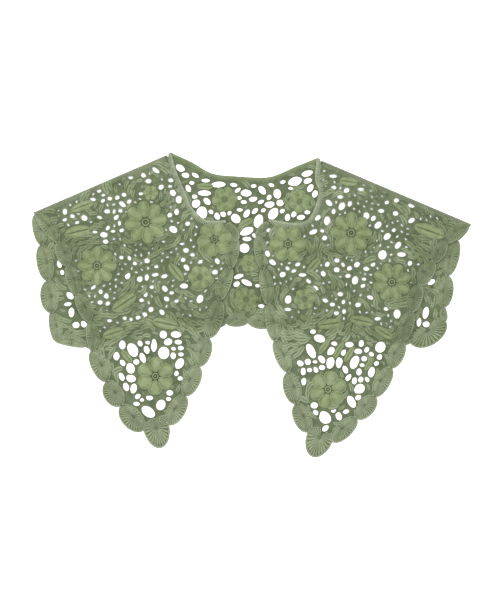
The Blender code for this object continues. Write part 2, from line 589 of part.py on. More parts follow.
def scalloped(rows, steps):
    """The outline's points: each bowed edge becomes half an ellipse on its chord."""
    outline = []
    for index, row in enumerate(rows):
        start = np.array(row[:2])
        chord = np.array(rows[(index + 1) % len(rows)][:2]) - start
        outward = np.array([chord[1], -chord[0]]) / np.linalg.norm(chord)
        outline.append(start)
        if row.bulge == 0.0:
            continue
        for step in range(1, steps):
            turn = math.pi * step / steps
            outline.append(start + chord * (1 - math.cos(turn)) / 2 + outward * row.bulge * math.sin(turn))
    return np.array(outline)


def segment_distances(points, starts, ends):
    """The distance from each point, down, to each segment, across."""
    along = ends - starts
    offsets = points[:, None] - starts
    t = np.clip((offsets * along).sum(2) / (along**2).sum(1), 0.0, 1.0)
    return np.linalg.norm(offsets - t[..., None] * along, axis=2)


def inside(points, polygon):
    """Whether each point lies in the polygon: a ray from it crosses the polygon an odd number of times."""
    x, y = points[:, 0, None], points[:, 1, None]
    x0, y0 = polygon.T
    x1, y1 = np.roll(polygon, -1, axis=0).T
    rise = np.where(y1 == y0, 1.0, y1 - y0)
    crossed = ((y0 > y) != (y1 > y)) & (x < x0 + (y - y0) * (x1 - x0) / rise)
    return crossed.sum(1) % 2 == 1


def oval_depth(points, oval):
    """How far each point lies inside an oval, about, and below nought outside it."""
    offset = points - (oval.x, oval.y)
    cosine, sine = math.cos(math.radians(oval.turn)), math.sin(math.radians(oval.turn))
    along = (offset[:, 0] * cosine + offset[:, 1] * sine) / (oval.length / 2)
    across = (offset[:, 1] * cosine - offset[:, 0] * sine) / (oval.width / 2)
    return (1 - np.hypot(along, across)) * oval.width / 2


def oval_ways(oval, count):
    """Steps from an oval's middle to points spaced round its edge."""
    turn = np.arange(count) * 2 * math.pi / count
    cosine, sine = math.cos(math.radians(oval.turn)), math.sin(math.radians(oval.turn))
    along, across = oval.length / 2 * np.cos(turn), oval.width / 2 * np.sin(turn)
    return np.stack([along * cosine - across * sine, along * sine + across * cosine], axis=1)


def wider(gaps):
    """The same gaps a little wider, so that one seen through a front's gap shows no rim."""
    return [gap._replace(length=gap.length + UNDER_MARGIN, width=gap.width + UNDER_MARGIN) for gap in gaps]


class Panel:
    """A lace panel's plan: its corners, its outline, its motifs and the gaps in its ground."""

    def __init__(self, name, rows, flowers, leaves, gaps):
        self.name = name
        self.rows = with_smooth_necks(rows)
        self.flowers = flowers
        self.leaves = leaves
        covered = {"neck": BRAID_WIDTH + SEAM_GAP, "shoulder": SEAM_WIDTH + SEAM_GAP}
        self.base_rows = inset(self.rows, covered)
        self.base = np.array([row[:2] for row in self.base_rows])
        self.outline = scalloped(self.base_rows, LOBE_STEPS)
        cut = [self.gap_outline(gap, gaps) for gap in gaps]
        self.gaps = [gap for gap in cut if clear_width(gap) > SMALLEST_GAP]

    def gap_outline(self, gap, gaps):
        """A gap's corners: its oval, kept a bar away from the other ovals and clear of the edges."""
        ways = oval_ways(gap, GAP_CORNERS)
        shares = np.arange(1, REACH_STEPS + 1) / REACH_STEPS
        points = ((gap.x, gap.y) + ways[:, None] * shares[:, None]).reshape(-1, 2)
        kept = np.array([EDGE_CLOTH[row.edge] for row in self.base_rows])
        ends = np.roll(self.base, -1, axis=0)
        room = (segment_distances(points, self.base, ends) - kept).min(axis=1)
        room[~inside(points, self.base)] = -1.0
        own = oval_depth(points, gap)
        for other in gaps:
            away = math.hypot(other.x - gap.x, other.y - gap.y)
            if other is not gap and away < FARTHEST_NEIGHBOUR:
                room = np.minimum(room, own - oval_depth(points, other) - LEAST_BAR)
        free = np.cumprod(room.reshape(GAP_CORNERS, -1) >= 0, axis=1).sum(axis=1)
        reach = free / REACH_STEPS
        if reach.min() < LEAST_REACH:
            return np.zeros((GAP_CORNERS, 2))
        return (gap.x, gap.y) + ways * reach[:, None]


def area_of(polygon):
    """A polygon's area."""
    after = np.roll(polygon, -1, axis=0)
    return abs((polygon[:, 0] * after[:, 1] - polygon[:, 1] * after[:, 0]).sum()) / 2


def clear_width(polygon):
    """A gap's width: the diameter of a circle of its area."""
    return 2 * math.sqrt(area_of(polygon) / math.pi)


def keep_largest_gaps(panels):
    """Keep only the largest gaps of all the panels, as many as the solids can carry."""
    widths = sorted((clear_width(gap) for panel in panels for gap in panel.gaps), reverse=True)
    least = widths[min(MOST_GAPS, len(widths)) - 1]
    for panel in panels:
        panel.gaps = [gap for gap in panel.gaps if clear_width(gap) >= least]


def flower_points(flower):
    """A flower's centre, and rings of points on its petals and between them, with their heights."""
    found = [(flower.x, flower.y, FLOWER_MIDDLE_HEIGHT)]
    for ring in PETAL_RINGS:
        radius = flower.radius * ring.share
        for petal in range(flower.petals):
            turn = math.radians(flower.turn) + 2 * math.pi * (petal + ring.shift) / flower.petals
            x, y = flower.x + radius * math.cos(turn), flower.y + radius * math.sin(turn)
            found.append((x, y, ring.height))
    return found


def leaf_points(leaf):
    """Points along a leaf's midrib, with their heights."""
    cosine, sine = math.cos(math.radians(leaf.turn)), math.sin(math.radians(leaf.turn))
    reaches = [share * leaf.length for share in LEAF_SHARES]
    return [(leaf.x + reach * cosine, leaf.y + reach * sine, LEAF_HEIGHT) for reach in reaches]


def hem_points(panel):
    """A raised row of points inside each scallop of the hem, with their heights."""
    found = []
    for index, row in enumerate(panel.base_rows):
        if row.edge != "hem":
            continue
        start = panel.base[index]
        chord = panel.base[(index + 1) % len(panel.base)] - start
        inward = np.array([-chord[1], chord[0]]) / np.linalg.norm(chord)
        point = start + chord / 2 + inward * HEM_ROW
        found.append((point[0], point[1], HEM_HEIGHT))
    return found


def lift(points, back):
    """The height of a front's underside: on the back, then down to the table past its hem."""
    outside = segment_distances(points, back.outline, np.roll(back.outline, -1, axis=0)).min(axis=1)
    outside[inside(points, back.outline)] = 0.0
    t = np.clip((outside - LEVEL_PAST_HEM) / DROP_LENGTH, 0.0, 1.0)
    return LAP_LIFT * (1 - t * t * (3 - 2 * t))


def drop_points(panel, back):
    """Points along the creases where a front leaves the level and where it meets the table."""
    found = []
    creases = [LEVEL_PAST_HEM + DROP_LENGTH * share for share in (0.0, 0.5, 1.0)]
    for index, row in enumerate(back.base_rows):
        if row.edge != "hem":
            continue
        start = back.base[index]
        chord = back.base[(index + 1) % len(back.base)] - start
        outward = np.array([chord[1], -chord[0]]) / np.linalg.norm(chord)
        for share in CREASE_SHARES:
            found += [start + chord * share + outward * (row.bulge + crease) for crease in creases]
    found = np.array(found)
    return found[inside(found, panel.base)]


def clear_of_gaps(points, panel):
    """The points that lie on cloth, clear of every gap and of the outline."""
    loops = [panel.outline] + panel.gaps
    kept = inside(points, panel.outline)
    for loop in loops:
        kept &= segment_distances(points, loop, np.roll(loop, -1, axis=0)).min(axis=1) > CLEAR_OF_GAPS
    for gap in panel.gaps:
        kept &= ~inside(points, gap)
    return kept


def wall_faces(triangles, count):
    """The faces that join the top to the underside along every open edge."""
    directed = {(a, b) for tri in triangles for a, b in zip(tri, tri[1:] + tri[:1])}
    return [(a + count, b + count, b, a) for a, b in sorted(directed) if (b, a) not in directed]


def lace_solid(panel, back=None):
    """The panel's closed solid: a flat or lifted underside, and a top raised at its motifs."""
    raised = hem_points(panel)
    for flower in panel.flowers:
        raised += flower_points(flower)
    for leaf in panel.leaves:
        raised += leaf_points(leaf)
    raised = np.array(raised)
    if back:
        level = drop_points(panel, back)
        raised = np.vstack([raised, np.column_stack([level, np.zeros(len(level))])])
    raised = raised[clear_of_gaps(raised[:, :2], panel)]
    loops = [panel.outline] + panel.gaps
    faces = []
    first = 0
    for loop in loops:
        faces.append(list(range(first, first + len(loop))))
        first += len(loop)
    plan = np.vstack(loops + [raised[:, :2]])
    heights = np.concatenate([np.zeros(first), raised[:, 2]])
    points, _, triangles, sources, _, owners = delaunay_2d_cdt([Vector(p) for p in plan], [], faces, 1, SAME_POINT)
    triangles = [list(tri) for tri, owner in zip(triangles, owners) if list(owner) == [0]]
    plan = np.array([tuple(p) for p in points])
    heights = np.array([heights[source[0]] if source else 0.0 for source in sources])
    under = lift(plan, back) if back else np.zeros(len(plan))
    top = np.column_stack([plan, under + WALL + RELIEF * heights])
    bottom = np.column_stack([plan, under])
    count = len(plan)
    faces = triangles + [[i + count for i in reversed(tri)] for tri in triangles]
    faces += wall_faces(triangles, count)
    return add_object(panel.name, np.vstack([top, bottom]), faces)


def add_object(name, points, faces):
    """A named object of the points and faces, with loose points left out."""
    used = sorted({i for face in faces for i in face})
    places = {old: new for new, old in enumerate(used)}
    mesh = bpy.data.meshes.new(name)
    mesh.from_pydata((points[used] * METRES).tolist(), [], [[places[i] for i in face] for face in faces])
    mesh.update()
    thing = bpy.data.objects.new(name, mesh)
    bpy.context.scene.collection.objects.link(thing)
    return thing


def strip_solid(name, outer, inner, bottom, height):
    """A narrow strip between two lines: a flat underside, upright sides and a low crown."""
    middle = (outer + inner) / 2
    shoulder = bottom + height - RELIEF
    rows = [(outer, bottom), (outer, shoulder), (middle, bottom + height), (inner, shoulder), (inner, bottom)]
    points = np.vstack([np.column_stack([line, np.full(len(line), level)]) for line, level in rows])
    count = len(outer)
    faces = []
    for ring in range(len(rows)):
        after = (ring + 1) % len(rows)
        for step in range(count - 1):
            a, b = ring * count + step, after * count + step
            faces.append([a, a + 1, b + 1, b])
    faces.append([ring * count for ring in range(len(rows))])
    faces.append([ring * count + count - 1 for ring in reversed(range(len(rows)))])
    return add_object(name, points, faces)


def neck_braid(name, panel, bottom):
    """The braid along a panel's neck: between its neck line and that line moved in."""
    edge = inset(panel.rows, {"hem": -SEAM_GAP})
    moved = inset(panel.rows, {"neck": BRAID_WIDTH, "hem": -SEAM_GAP})
    wanted = [index for index, row in enumerate(panel.rows) if row.edge == "neck"]
    wanted.append((wanted[-1] + 1) % len(panel.rows))
    outer = np.array([edge[index][:2] for index in wanted])
    inner = np.array([moved[index][:2] for index in wanted])
    return strip_solid(name, outer, inner, bottom, WALL + RELIEF)


def shoulder_seam(name, panel, corner):
    """The seam at a shoulder fold, whose edge starts at the given corner of the back's rows."""
    rows = panel.rows
    index = next(i for i, row in enumerate(rows) if row[:2] == corner[:2])
    moved = inset(rows, {"shoulder": SEAM_WIDTH})
    outer = np.array([rows[index][:2], rows[(index + 1) % len(rows)][:2]])
    inner = np.array([moved[index][:2], moved[(index + 1) % len(rows)][:2]])
    neck_end = 0 if rows[index - 1].edge == "neck" else 1
    along = outer[1 - neck_end] - outer[neck_end]
    along /= np.linalg.norm(along)
    inward = inner[1 - neck_end] - outer[1 - neck_end]
    inward -= along * (inward @ along)
    outer[neck_end] += along * SEAM_START
    inner[neck_end] = outer[neck_end] + inward
    return strip_solid(name, outer, inner, 0.0, OVERALL_HEIGHT)


def centre_on_origin(things):
    """Move the meshes together, so that the middle of the collar's plan is at the origin."""
    points = np.array([vertex.co for thing in things for vertex in thing.data.vertices])
    middle = (points.min(axis=0) + points.max(axis=0)) / 2
    for thing in things:
        thing.data.transform(Matrix.Translation((-middle[0], -middle[1], 0.0)))


def main():
    """Lay the three lace panels out, then edge the neck and join the shoulders."""
    clear_scene()
    under_gaps = NECK_GAPS + wider(LEFT_THROUGH_GAPS + RIGHT_THROUGH_GAPS)
    back = Panel("back_panel", BACK_ROWS, BACK_FLOWERS, BACK_LEAVES, under_gaps)
    left_gaps = LEFT_POINT_GAPS + LEFT_THROUGH_GAPS
    left = Panel("front_left", LEFT_ROWS, LEFT_FLOWERS, LEFT_LEAVES, left_gaps)
    right_gaps = RIGHT_POINT_GAPS + RIGHT_THROUGH_GAPS
    right = Panel("front_right", RIGHT_ROWS, RIGHT_FLOWERS, RIGHT_LEAVES, right_gaps)
    keep_largest_gaps([back, left, right])
    lace = [lace_solid(back), lace_solid(left, back), lace_solid(right, back)]
    trim = [
        neck_braid("neck_band_back", back, 0.0),
        neck_braid("neck_band_left", left, LAP_LIFT),
        neck_braid("neck_band_right", right, LAP_LIFT),
        shoulder_seam("shoulder_seam_left", back, BACK_ROWS[0]),
        shoulder_seam("shoulder_seam_right", back, RIGHT_ROWS[-1]),
    ]
    centre_on_origin(lace + trim)
    lace_green = cotton("cotton_lace", LACE_GREEN)
    trim_green = cotton("cotton_braid", TRIM_GREEN)
    for thing in lace + trim:
        thing.data.materials.append(lace_green if thing in lace else trim_green)


main()
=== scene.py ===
# %% [markdown]
# A detachable lace collar lies flat on a pale table, seen from straight above.
# It is cotton guipure: flowers, leaves and scallops of packed stitches, joined by a net of
# wrapped bars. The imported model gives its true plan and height, and this lesson works the
# stitches around it. Sizes below are millimetres, because a lace maker thinks in them.

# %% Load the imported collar
import math
from collections import namedtuple

import bpy
import numpy as np
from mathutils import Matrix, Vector
from mathutils.geometry import delaunay_2d_cdt


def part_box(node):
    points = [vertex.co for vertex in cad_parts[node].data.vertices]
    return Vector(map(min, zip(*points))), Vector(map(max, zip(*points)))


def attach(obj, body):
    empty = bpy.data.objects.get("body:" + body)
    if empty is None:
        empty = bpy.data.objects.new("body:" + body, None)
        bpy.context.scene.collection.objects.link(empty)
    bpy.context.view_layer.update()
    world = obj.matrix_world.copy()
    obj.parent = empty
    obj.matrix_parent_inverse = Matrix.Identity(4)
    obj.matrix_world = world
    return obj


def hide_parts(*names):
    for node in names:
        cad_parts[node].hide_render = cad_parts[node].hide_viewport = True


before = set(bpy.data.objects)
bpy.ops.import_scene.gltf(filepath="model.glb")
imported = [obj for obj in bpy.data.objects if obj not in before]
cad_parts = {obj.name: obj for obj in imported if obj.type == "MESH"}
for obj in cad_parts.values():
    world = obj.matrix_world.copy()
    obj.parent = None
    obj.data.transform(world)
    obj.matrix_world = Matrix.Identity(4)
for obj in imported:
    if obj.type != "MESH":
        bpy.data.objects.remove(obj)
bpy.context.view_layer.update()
MILLIMETRE = 0.001

# %% [markdown]
# The plan of each panel is a ring of corners, counter-clockwise seen from above. Each row also
# says what kind of edge runs on from its corner, and how far that edge bows out. A hem edge is
# one scallop, about 30 mm wide, as they are worked along the border of such a collar.

# %% Corners of the three panels
Row = namedtuple("Row", "x y edge bulge")
BACK_ROWS = [
    Row(-86.5, 158.0, "shoulder", 0.0),
    Row(-229.5, 91.5, "hem", 4.5),
    Row(-221.0, 57.5, "hem", 7.5),
    Row(-213.0, 20.0, "hem", 9.0),
    Row(-208.5, -13.5, "hem", 3.5),
    Row(-203.0, -43.0, "hem", 2.0),
    Row(-171.0, -48.0, "hem", 4.5),
    Row(-146.0, -37.5, "hem", 4.5),
    Row(-121.0, -31.0, "hem", 4.5),
    Row(-96.5, -25.0, "hem", 4.5),
    Row(-72.0, -22.5, "hem", 4.5),
    Row(-48.0, -22.5, "hem", 4.5),
    Row(-24.5, -18.5, "hem", 4.5),
    Row(-1.5, -17.0, "hem", 5.0),
    Row(21.5, -20.5, "hem", 4.5),
    Row(45.0, -20.5, "hem", 4.5),
    Row(68.0, -17.5, "hem", 4.5),
    Row(93.0, -22.0, "hem", 4.5),
    Row(118.5, -25.5, "hem", 4.5),
    Row(143.0, -28.0, "hem", 4.5),
    Row(169.0, -34.5, "hem", 14.5),
    Row(206.0, -10.0, "hem", 2.0),
    Row(203.5, 3.5, "hem", 7.5),
    Row(207.0, 37.0, "hem", 6.5),
    Row(215.5, 75.0, "hem", 2.0),
    Row(229.5, 92.0, "shoulder", 0.0),
    Row(65.5, 156.5, "neck", 0.0),
    Row(43.5, 147.0, "neck", 0.0),
    Row(27.0, 139.0, "neck", 0.0),
    Row(12.0, 134.8, "neck", 0.0),
    Row(-18.5, 135.3, "neck", 0.0),
    Row(-43.5, 137.5, "neck", 0.0),
    Row(-64.0, 148.3, "neck", 0.0),
]
LEFT_ROWS = [
    Row(-86.5, 158.0, "shoulder", 0.0),
    Row(-229.5, 91.5, "hem", 4.0),
    Row(-203.0, 60.0, "hem", 6.0),
    Row(-193.0, 36.0, "hem", 5.0),
    Row(-182.5, 6.0, "hem", 5.0),
    Row(-168.0, -22.0, "hem", 4.0),
    Row(-164.5, -52.0, "hem", 8.0),
    Row(-148.0, -84.0, "hem", 10.5),
    Row(-132.5, -109.0, "hem", 11.0),
    Row(-107.5, -134.0, "hem", 22.0),
    Row(-81.5, -127.5, "hem", 8.5),
    Row(-65.0, -96.5, "hem", 8.0),
    Row(-51.5, -65.5, "hem", 7.5),
    Row(-42.5, -35.5, "hem", 9.0),
    Row(-31.0, 4.5, "hem", 5.0),
    Row(-20.0, 38.5, "hem", 4.0),
    Row(-14.5, 68.0, "hem", 5.5),
    Row(-29.0, 89.0, "neck", 0.0),
    Row(-48.0, 88.5, "neck", 0.0),
    Row(-61.5, 99.0, "neck", 0.0),
    Row(-72.5, 121.0, "neck", 0.0),
    Row(-80.5, 139.0, "neck", 0.0),
]
RIGHT_ROWS = [
    Row(65.5, 156.5, "neck", 0.0),
    Row(64.0, 134.0, "neck", 0.0),
    Row(68.5, 120.0, "neck", 0.0),
    Row(62.5, 99.0, "neck", 0.0),
    Row(54.0, 89.5, "neck", 0.0),
    Row(37.0, 88.5, "neck", 0.0),
    Row(18.5, 91.5, "hem", 4.0),
    Row(5.0, 72.0, "hem", 5.0),
    Row(11.5, 39.0, "hem", 4.5),
    Row(18.0, 1.5, "hem", 5.0),
    Row(26.5, -36.5, "hem", 5.5),
    Row(41.5, -69.0, "hem", 8.5),
    Row(51.0, -102.0, "hem", 8.5),
    Row(64.5, -131.0, "hem", 22.5),
    Row(90.5, -140.5, "hem", 7.5),
    Row(115.5, -115.5, "hem", 8.5),
    Row(134.5, -92.0, "hem", 6.5),
    Row(150.5, -61.5, "hem", 7.0),
    Row(161.5, -33.0, "hem", 6.0),
    Row(170.0, -2.5, "hem", 6.0),
    Row(178.5, 26.0, "hem", 6.0),
    Row(192.0, 50.5, "hem", 5.0),
    Row(204.0, 71.0, "hem", 4.0),
    Row(229.5, 92.0, "shoulder", 0.0),
]
print("corners:", len(BACK_ROWS), len(LEFT_ROWS), len(RIGHT_ROWS))

# %% [markdown]
# The motifs stand on the ground where the photo shows them. A flower is a ring of petals, and a
# leaf is a long dome. They are ordinary flowers and leaves, placed by their middles and turned.

# %% Flowers and leaves
Flower = namedtuple("Flower", "x y radius petals turn")
Leaf = namedtuple("Leaf", "x y length width turn")
BACK_FLOWERS = [
    Flower(-29.5, 110.5, 13.0, 6, 10.0),
    Flower(49.0, 110.5, 11.5, 6, 20.0),
    Flower(-4.0, 6.0, 12.5, 8, 10.0),
    Flower(-2.0, 44.0, 9.0, 6, 0.0),
    Flower(-182.0, 58.0, 16.0, 8, 20.0),
    Flower(180.0, 64.0, 15.0, 8, 0.0),
    Flower(166.0, 8.0, 11.0, 6, 10.0),
    Flower(66.0, 58.0, 13.0, 6, 0.0),
]
BACK_LEAVES = [
    Leaf(-50.5, 123.5, 16.0, 6.0, 0.0),
    Leaf(-6.5, 86.5, 15.0, 6.0, 30.0),
    Leaf(-114.0, 94.0, 30.0, 12.0, 30.0),
    Leaf(108.0, 72.0, 30.0, 12.0, -30.0),
    Leaf(56.0, 10.0, 26.0, 11.0, -60.0),
    Leaf(-133.0, -5.0, 24.0, 9.0, -20.0),
]
LEFT_FLOWERS = [
    Flower(-111.5, 84.0, 22.0, 8, 10.0),
    Flower(-161.0, 37.0, 20.0, 8, 0.0),
    Flower(-39.0, 68.0, 18.0, 6, 15.0),
    Flower(-97.0, -77.0, 19.5, 6, 30.0),
    Flower(-107.0, 115.0, 7.5, 6, 0.0),
    Flower(-53.0, 28.0, 12.0, 6, 0.0),
]
LEFT_LEAVES = [
    Leaf(-131.5, -1.0, 28.0, 11.0, 35.0),
    Leaf(-178.0, 99.0, 24.0, 8.0, 22.0),
    Leaf(-183.0, 72.0, 26.0, 11.0, 15.0),
    Leaf(-78.0, 32.5, 22.0, 8.0, -50.0),
    Leaf(-88.0, -21.5, 26.0, 10.0, -10.0),
    Leaf(-142.0, -33.0, 22.0, 9.0, 20.0),
    Leaf(-127.5, -57.0, 15.0, 5.5, -48.0),
]
RIGHT_FLOWERS = [
    Flower(104.0, 79.0, 21.5, 8, 0.0),
    Flower(148.0, 28.5, 20.0, 8, 20.0),
    Flower(38.0, 65.5, 19.0, 6, 0.0),
    Flower(84.5, -86.0, 19.5, 6, 19.0),
    Flower(57.0, 8.0, 11.0, 6, 10.0),
]
RIGHT_LEAVES = [
    Leaf(118.0, -13.0, 24.0, 9.0, -10.0),
    Leaf(186.0, 83.0, 32.0, 12.0, -18.0),
    Leaf(66.0, 44.0, 18.0, 7.0, 50.0),
    Leaf(84.0, -17.0, 24.0, 9.0, 10.0),
    Leaf(141.0, -24.5, 20.0, 8.0, -30.0),
    Leaf(100.0, 132.5, 18.0, 8.0, -8.0),
    Leaf(79.0, -41.0, 18.0, 5.0, 57.0),
    Leaf(94.5, -44.5, 19.0, 5.0, 60.0),
    Leaf(105.5, -48.5, 17.0, 5.0, 60.0),
    Leaf(127.0, -58.0, 15.0, 4.5, 55.0),
]
print("flowers:", len(BACK_FLOWERS + LEFT_FLOWERS + RIGHT_FLOWERS))

# %% [markdown]
# The white specks in the photo are charted, each as an oval: its middle, its length, its
# width, and the way it leans. Some are gaps of one layer, and some pass through a front and the
# back below it. The finer net between them is worked out further on. First come the gaps of the
# back where it shows alone: round the neck, beside the fronts and between them.

# %% Gaps of the back alone
Gap = namedtuple("Gap", "x y length width turn")
NECK_GAPS = [
    Gap(-77.0, 142.0, 9.5, 5.6, -35.0),
    Gap(-71.5, 135.0, 7.5, 4.6, -15.0),
    Gap(-61.0, 135.0, 7.0, 3.2, -30.0),
    Gap(-50.0, 129.8, 8.0, 3.0, 0.0),
    Gap(-64.5, 127.0, 4.6, 3.0, 0.0),
    Gap(-68.0, 121.0, 7.0, 4.2, -60.0),
    Gap(-36.5, 126.0, 14.0, 5.2, 5.0),
    Gap(-20.5, 126.0, 7.0, 3.0, -5.0),
    Gap(-15.5, 120.5, 7.0, 3.6, 30.0),
    Gap(-51.0, 116.6, 13.0, 5.0, 0.0),
    Gap(-61.0, 112.5, 5.0, 4.0, 0.0),
    Gap(-59.5, 105.5, 8.5, 7.5, 60.0),
    Gap(-48.0, 108.0, 8.0, 4.8, -45.0),
    Gap(-53.0, 96.0, 12.0, 10.5, 90.0),
    Gap(-24.0, 96.0, 5.0, 3.6, 30.0),
    Gap(-37.0, 93.0, 7.0, 4.8, -60.0),
    Gap(-30.5, 95.0, 6.0, 4.6, -20.0),
    Gap(-43.5, 97.0, 5.0, 3.4, -30.0),
    Gap(-7.5, 118.0, 11.0, 6.4, -5.0),
    Gap(-14.5, 112.5, 4.6, 2.8, 0.0),
    Gap(-9.0, 108.5, 6.4, 3.2, 5.0),
    Gap(0.0, 111.5, 8.6, 4.2, 15.0),
    Gap(8.5, 109.0, 6.0, 3.0, 25.0),
    Gap(9.5, 121.3, 9.5, 5.4, -50.0),
    Gap(0.5, 125.5, 5.0, 2.8, 10.0),
    Gap(19.0, 127.0, 5.0, 2.8, -20.0),
    Gap(25.5, 118.0, 9.0, 7.0, -80.0),
    Gap(17.0, 114.0, 5.0, 3.6, 60.0),
    Gap(17.5, 106.3, 10.0, 5.8, 15.0),
    Gap(28.5, 108.5, 7.0, 5.8, 0.0),
    Gap(11.5, 100.5, 5.0, 3.0, 40.0),
    Gap(22.0, 97.0, 13.0, 8.5, 55.0),
    Gap(6.5, 88.5, 14.0, 8.4, 75.0),
    Gap(2.5, 99.3, 7.0, 3.6, 45.0),
    Gap(-6.0, 96.5, 8.5, 4.8, 60.0),
    Gap(-13.5, 100.0, 5.4, 2.6, 0.0),
    Gap(-17.5, 91.0, 10.5, 7.6, -40.0),
    Gap(-5.5, 77.8, 14.0, 7.0, 25.0),
    Gap(-5.0, 69.8, 8.4, 3.8, 0.0),
    Gap(-7.5, 60.0, 9.6, 8.8, 0.0),
    Gap(3.0, 73.5, 4.6, 3.4, -30.0),
    Gap(44.0, 131.5, 15.0, 8.4, 25.0),
    Gap(56.0, 140.0, 12.0, 5.2, 20.0),
    Gap(57.0, 132.5, 8.2, 4.6, 20.0),
    Gap(60.0, 125.0, 8.0, 4.8, 60.0),
    Gap(39.5, 124.5, 5.4, 3.0, 0.0),
    Gap(31.0, 130.5, 5.0, 2.8, 20.0),
    Gap(65.0, 119.0, 7.0, 4.6, 70.0),
    Gap(37.0, 93.5, 6.5, 4.6, 80.0),
    Gap(43.5, 97.0, 6.0, 4.0, 60.0),
    Gap(51.0, 94.0, 7.5, 4.2, 10.0),
    Gap(31.0, 100.0, 5.0, 3.4, 30.0),
    Gap(57.5, 99.5, 5.0, 3.2, 0.0),
    Gap(-12.5, 30.0, 9.4, 4.0, 20.0),
    Gap(-14.5, 22.0, 6.0, 4.2, 30.0),
    Gap(-4.0, 23.8, 11.0, 4.6, -25.0),
    Gap(7.5, 21.0, 4.4, 2.6, 0.0),
    Gap(12.0, -0.2, 5.6, 2.8, 0.0),
    Gap(-201.0, 38.0, 8.0, 4.2, -75.0),
    Gap(-198.0, 29.5, 5.0, 3.2, -75.0),
    Gap(-189.0, 5.0, 8.0, 5.0, -45.0),
    Gap(-191.0, -4.0, 7.0, 3.0, 10.0),
    Gap(-187.0, -12.5, 9.0, 5.0, 90.0),
    Gap(-181.5, -25.5, 7.4, 5.4, 10.0),
    Gap(-174.0, -24.5, 6.8, 5.4, -30.0),
    Gap(189.5, 30.0, 8.0, 4.6, 25.0),
    Gap(184.8, -2.5, 12.0, 5.4, 80.0),
    Gap(185.5, -14.5, 6.2, 5.2, 0.0),
    Gap(178.0, -12.5, 8.6, 3.8, 85.0),
]
print("gaps of the back alone:", len(NECK_GAPS))

# %% [markdown]
# Past the back's hem each front lies on the table by itself. Its lapel point has the widest gaps,
# which stand round a flower and between the short thick bars above it.

# %% Gaps of the lapel points
LEFT_POINT_GAPS = [
    Gap(-138.5, -57.0, 8.0, 5.4, 90.0),
    Gap(-132.5, -45.0, 8.6, 6.0, 90.0),
    Gap(-121.5, -50.0, 14.5, 9.5, -60.0),
    Gap(-114.0, -43.0, 5.6, 4.4, -60.0),
    Gap(-106.0, -42.0, 4.6, 3.2, 0.0),
    Gap(-107.0, -49.5, 7.6, 4.8, -70.0),
    Gap(-99.5, -44.5, 13.0, 5.4, 90.0),
    Gap(-89.8, -33.0, 7.4, 6.8, 90.0),
    Gap(-76.5, -32.5, 10.4, 6.2, 0.0),
    Gap(-84.5, -40.5, 8.4, 6.0, 20.0),
    Gap(-74.0, -40.5, 7.0, 4.0, 0.0),
    Gap(-78.5, -47.5, 4.6, 3.0, 0.0),
    Gap(-71.5, -46.7, 6.0, 3.6, 0.0),
    Gap(-89.0, -52.3, 12.0, 10.6, 90.0),
    Gap(-79.0, -55.0, 6.0, 4.6, 90.0),
    Gap(-70.8, -53.3, 4.6, 3.2, 0.0),
    Gap(-72.0, -63.0, 11.0, 7.2, 60.0),
    Gap(-75.0, -73.5, 4.6, 3.4, 70.0),
    Gap(-71.0, -78.5, 4.4, 3.4, 0.0),
    Gap(-111.0, -58.0, 10.0, 5.0, -65.0),
    Gap(-117.5, -62.5, 5.4, 4.6, 0.0),
    Gap(-131.8, -64.0, 6.4, 4.0, -50.0),
    Gap(-123.5, -69.5, 10.5, 7.8, -70.0),
    Gap(-132.5, -78.5, 8.0, 4.6, -60.0),
    Gap(-122.5, -80.0, 9.4, 7.0, -20.0),
    Gap(-127.5, -89.0, 8.0, 5.0, -70.0),
    Gap(-119.5, -90.5, 9.6, 5.8, 80.0),
    Gap(-115.5, -99.0, 7.0, 3.8, 35.0),
    Gap(-121.0, -101.8, 4.4, 2.8, 30.0),
    Gap(-103.0, -100.0, 7.4, 3.8, 0.0),
    Gap(-110.0, -102.0, 4.6, 2.8, 20.0),
    Gap(-116.0, -106.5, 6.0, 3.4, 0.0),
    Gap(-103.5, -114.5, 15.0, 9.0, -35.0),
    Gap(-90.5, -107.0, 10.4, 8.4, 65.0),
    Gap(-81.5, -94.0, 6.0, 4.8, 0.0),
    Gap(-82.5, -100.5, 4.4, 3.2, 0.0),
]
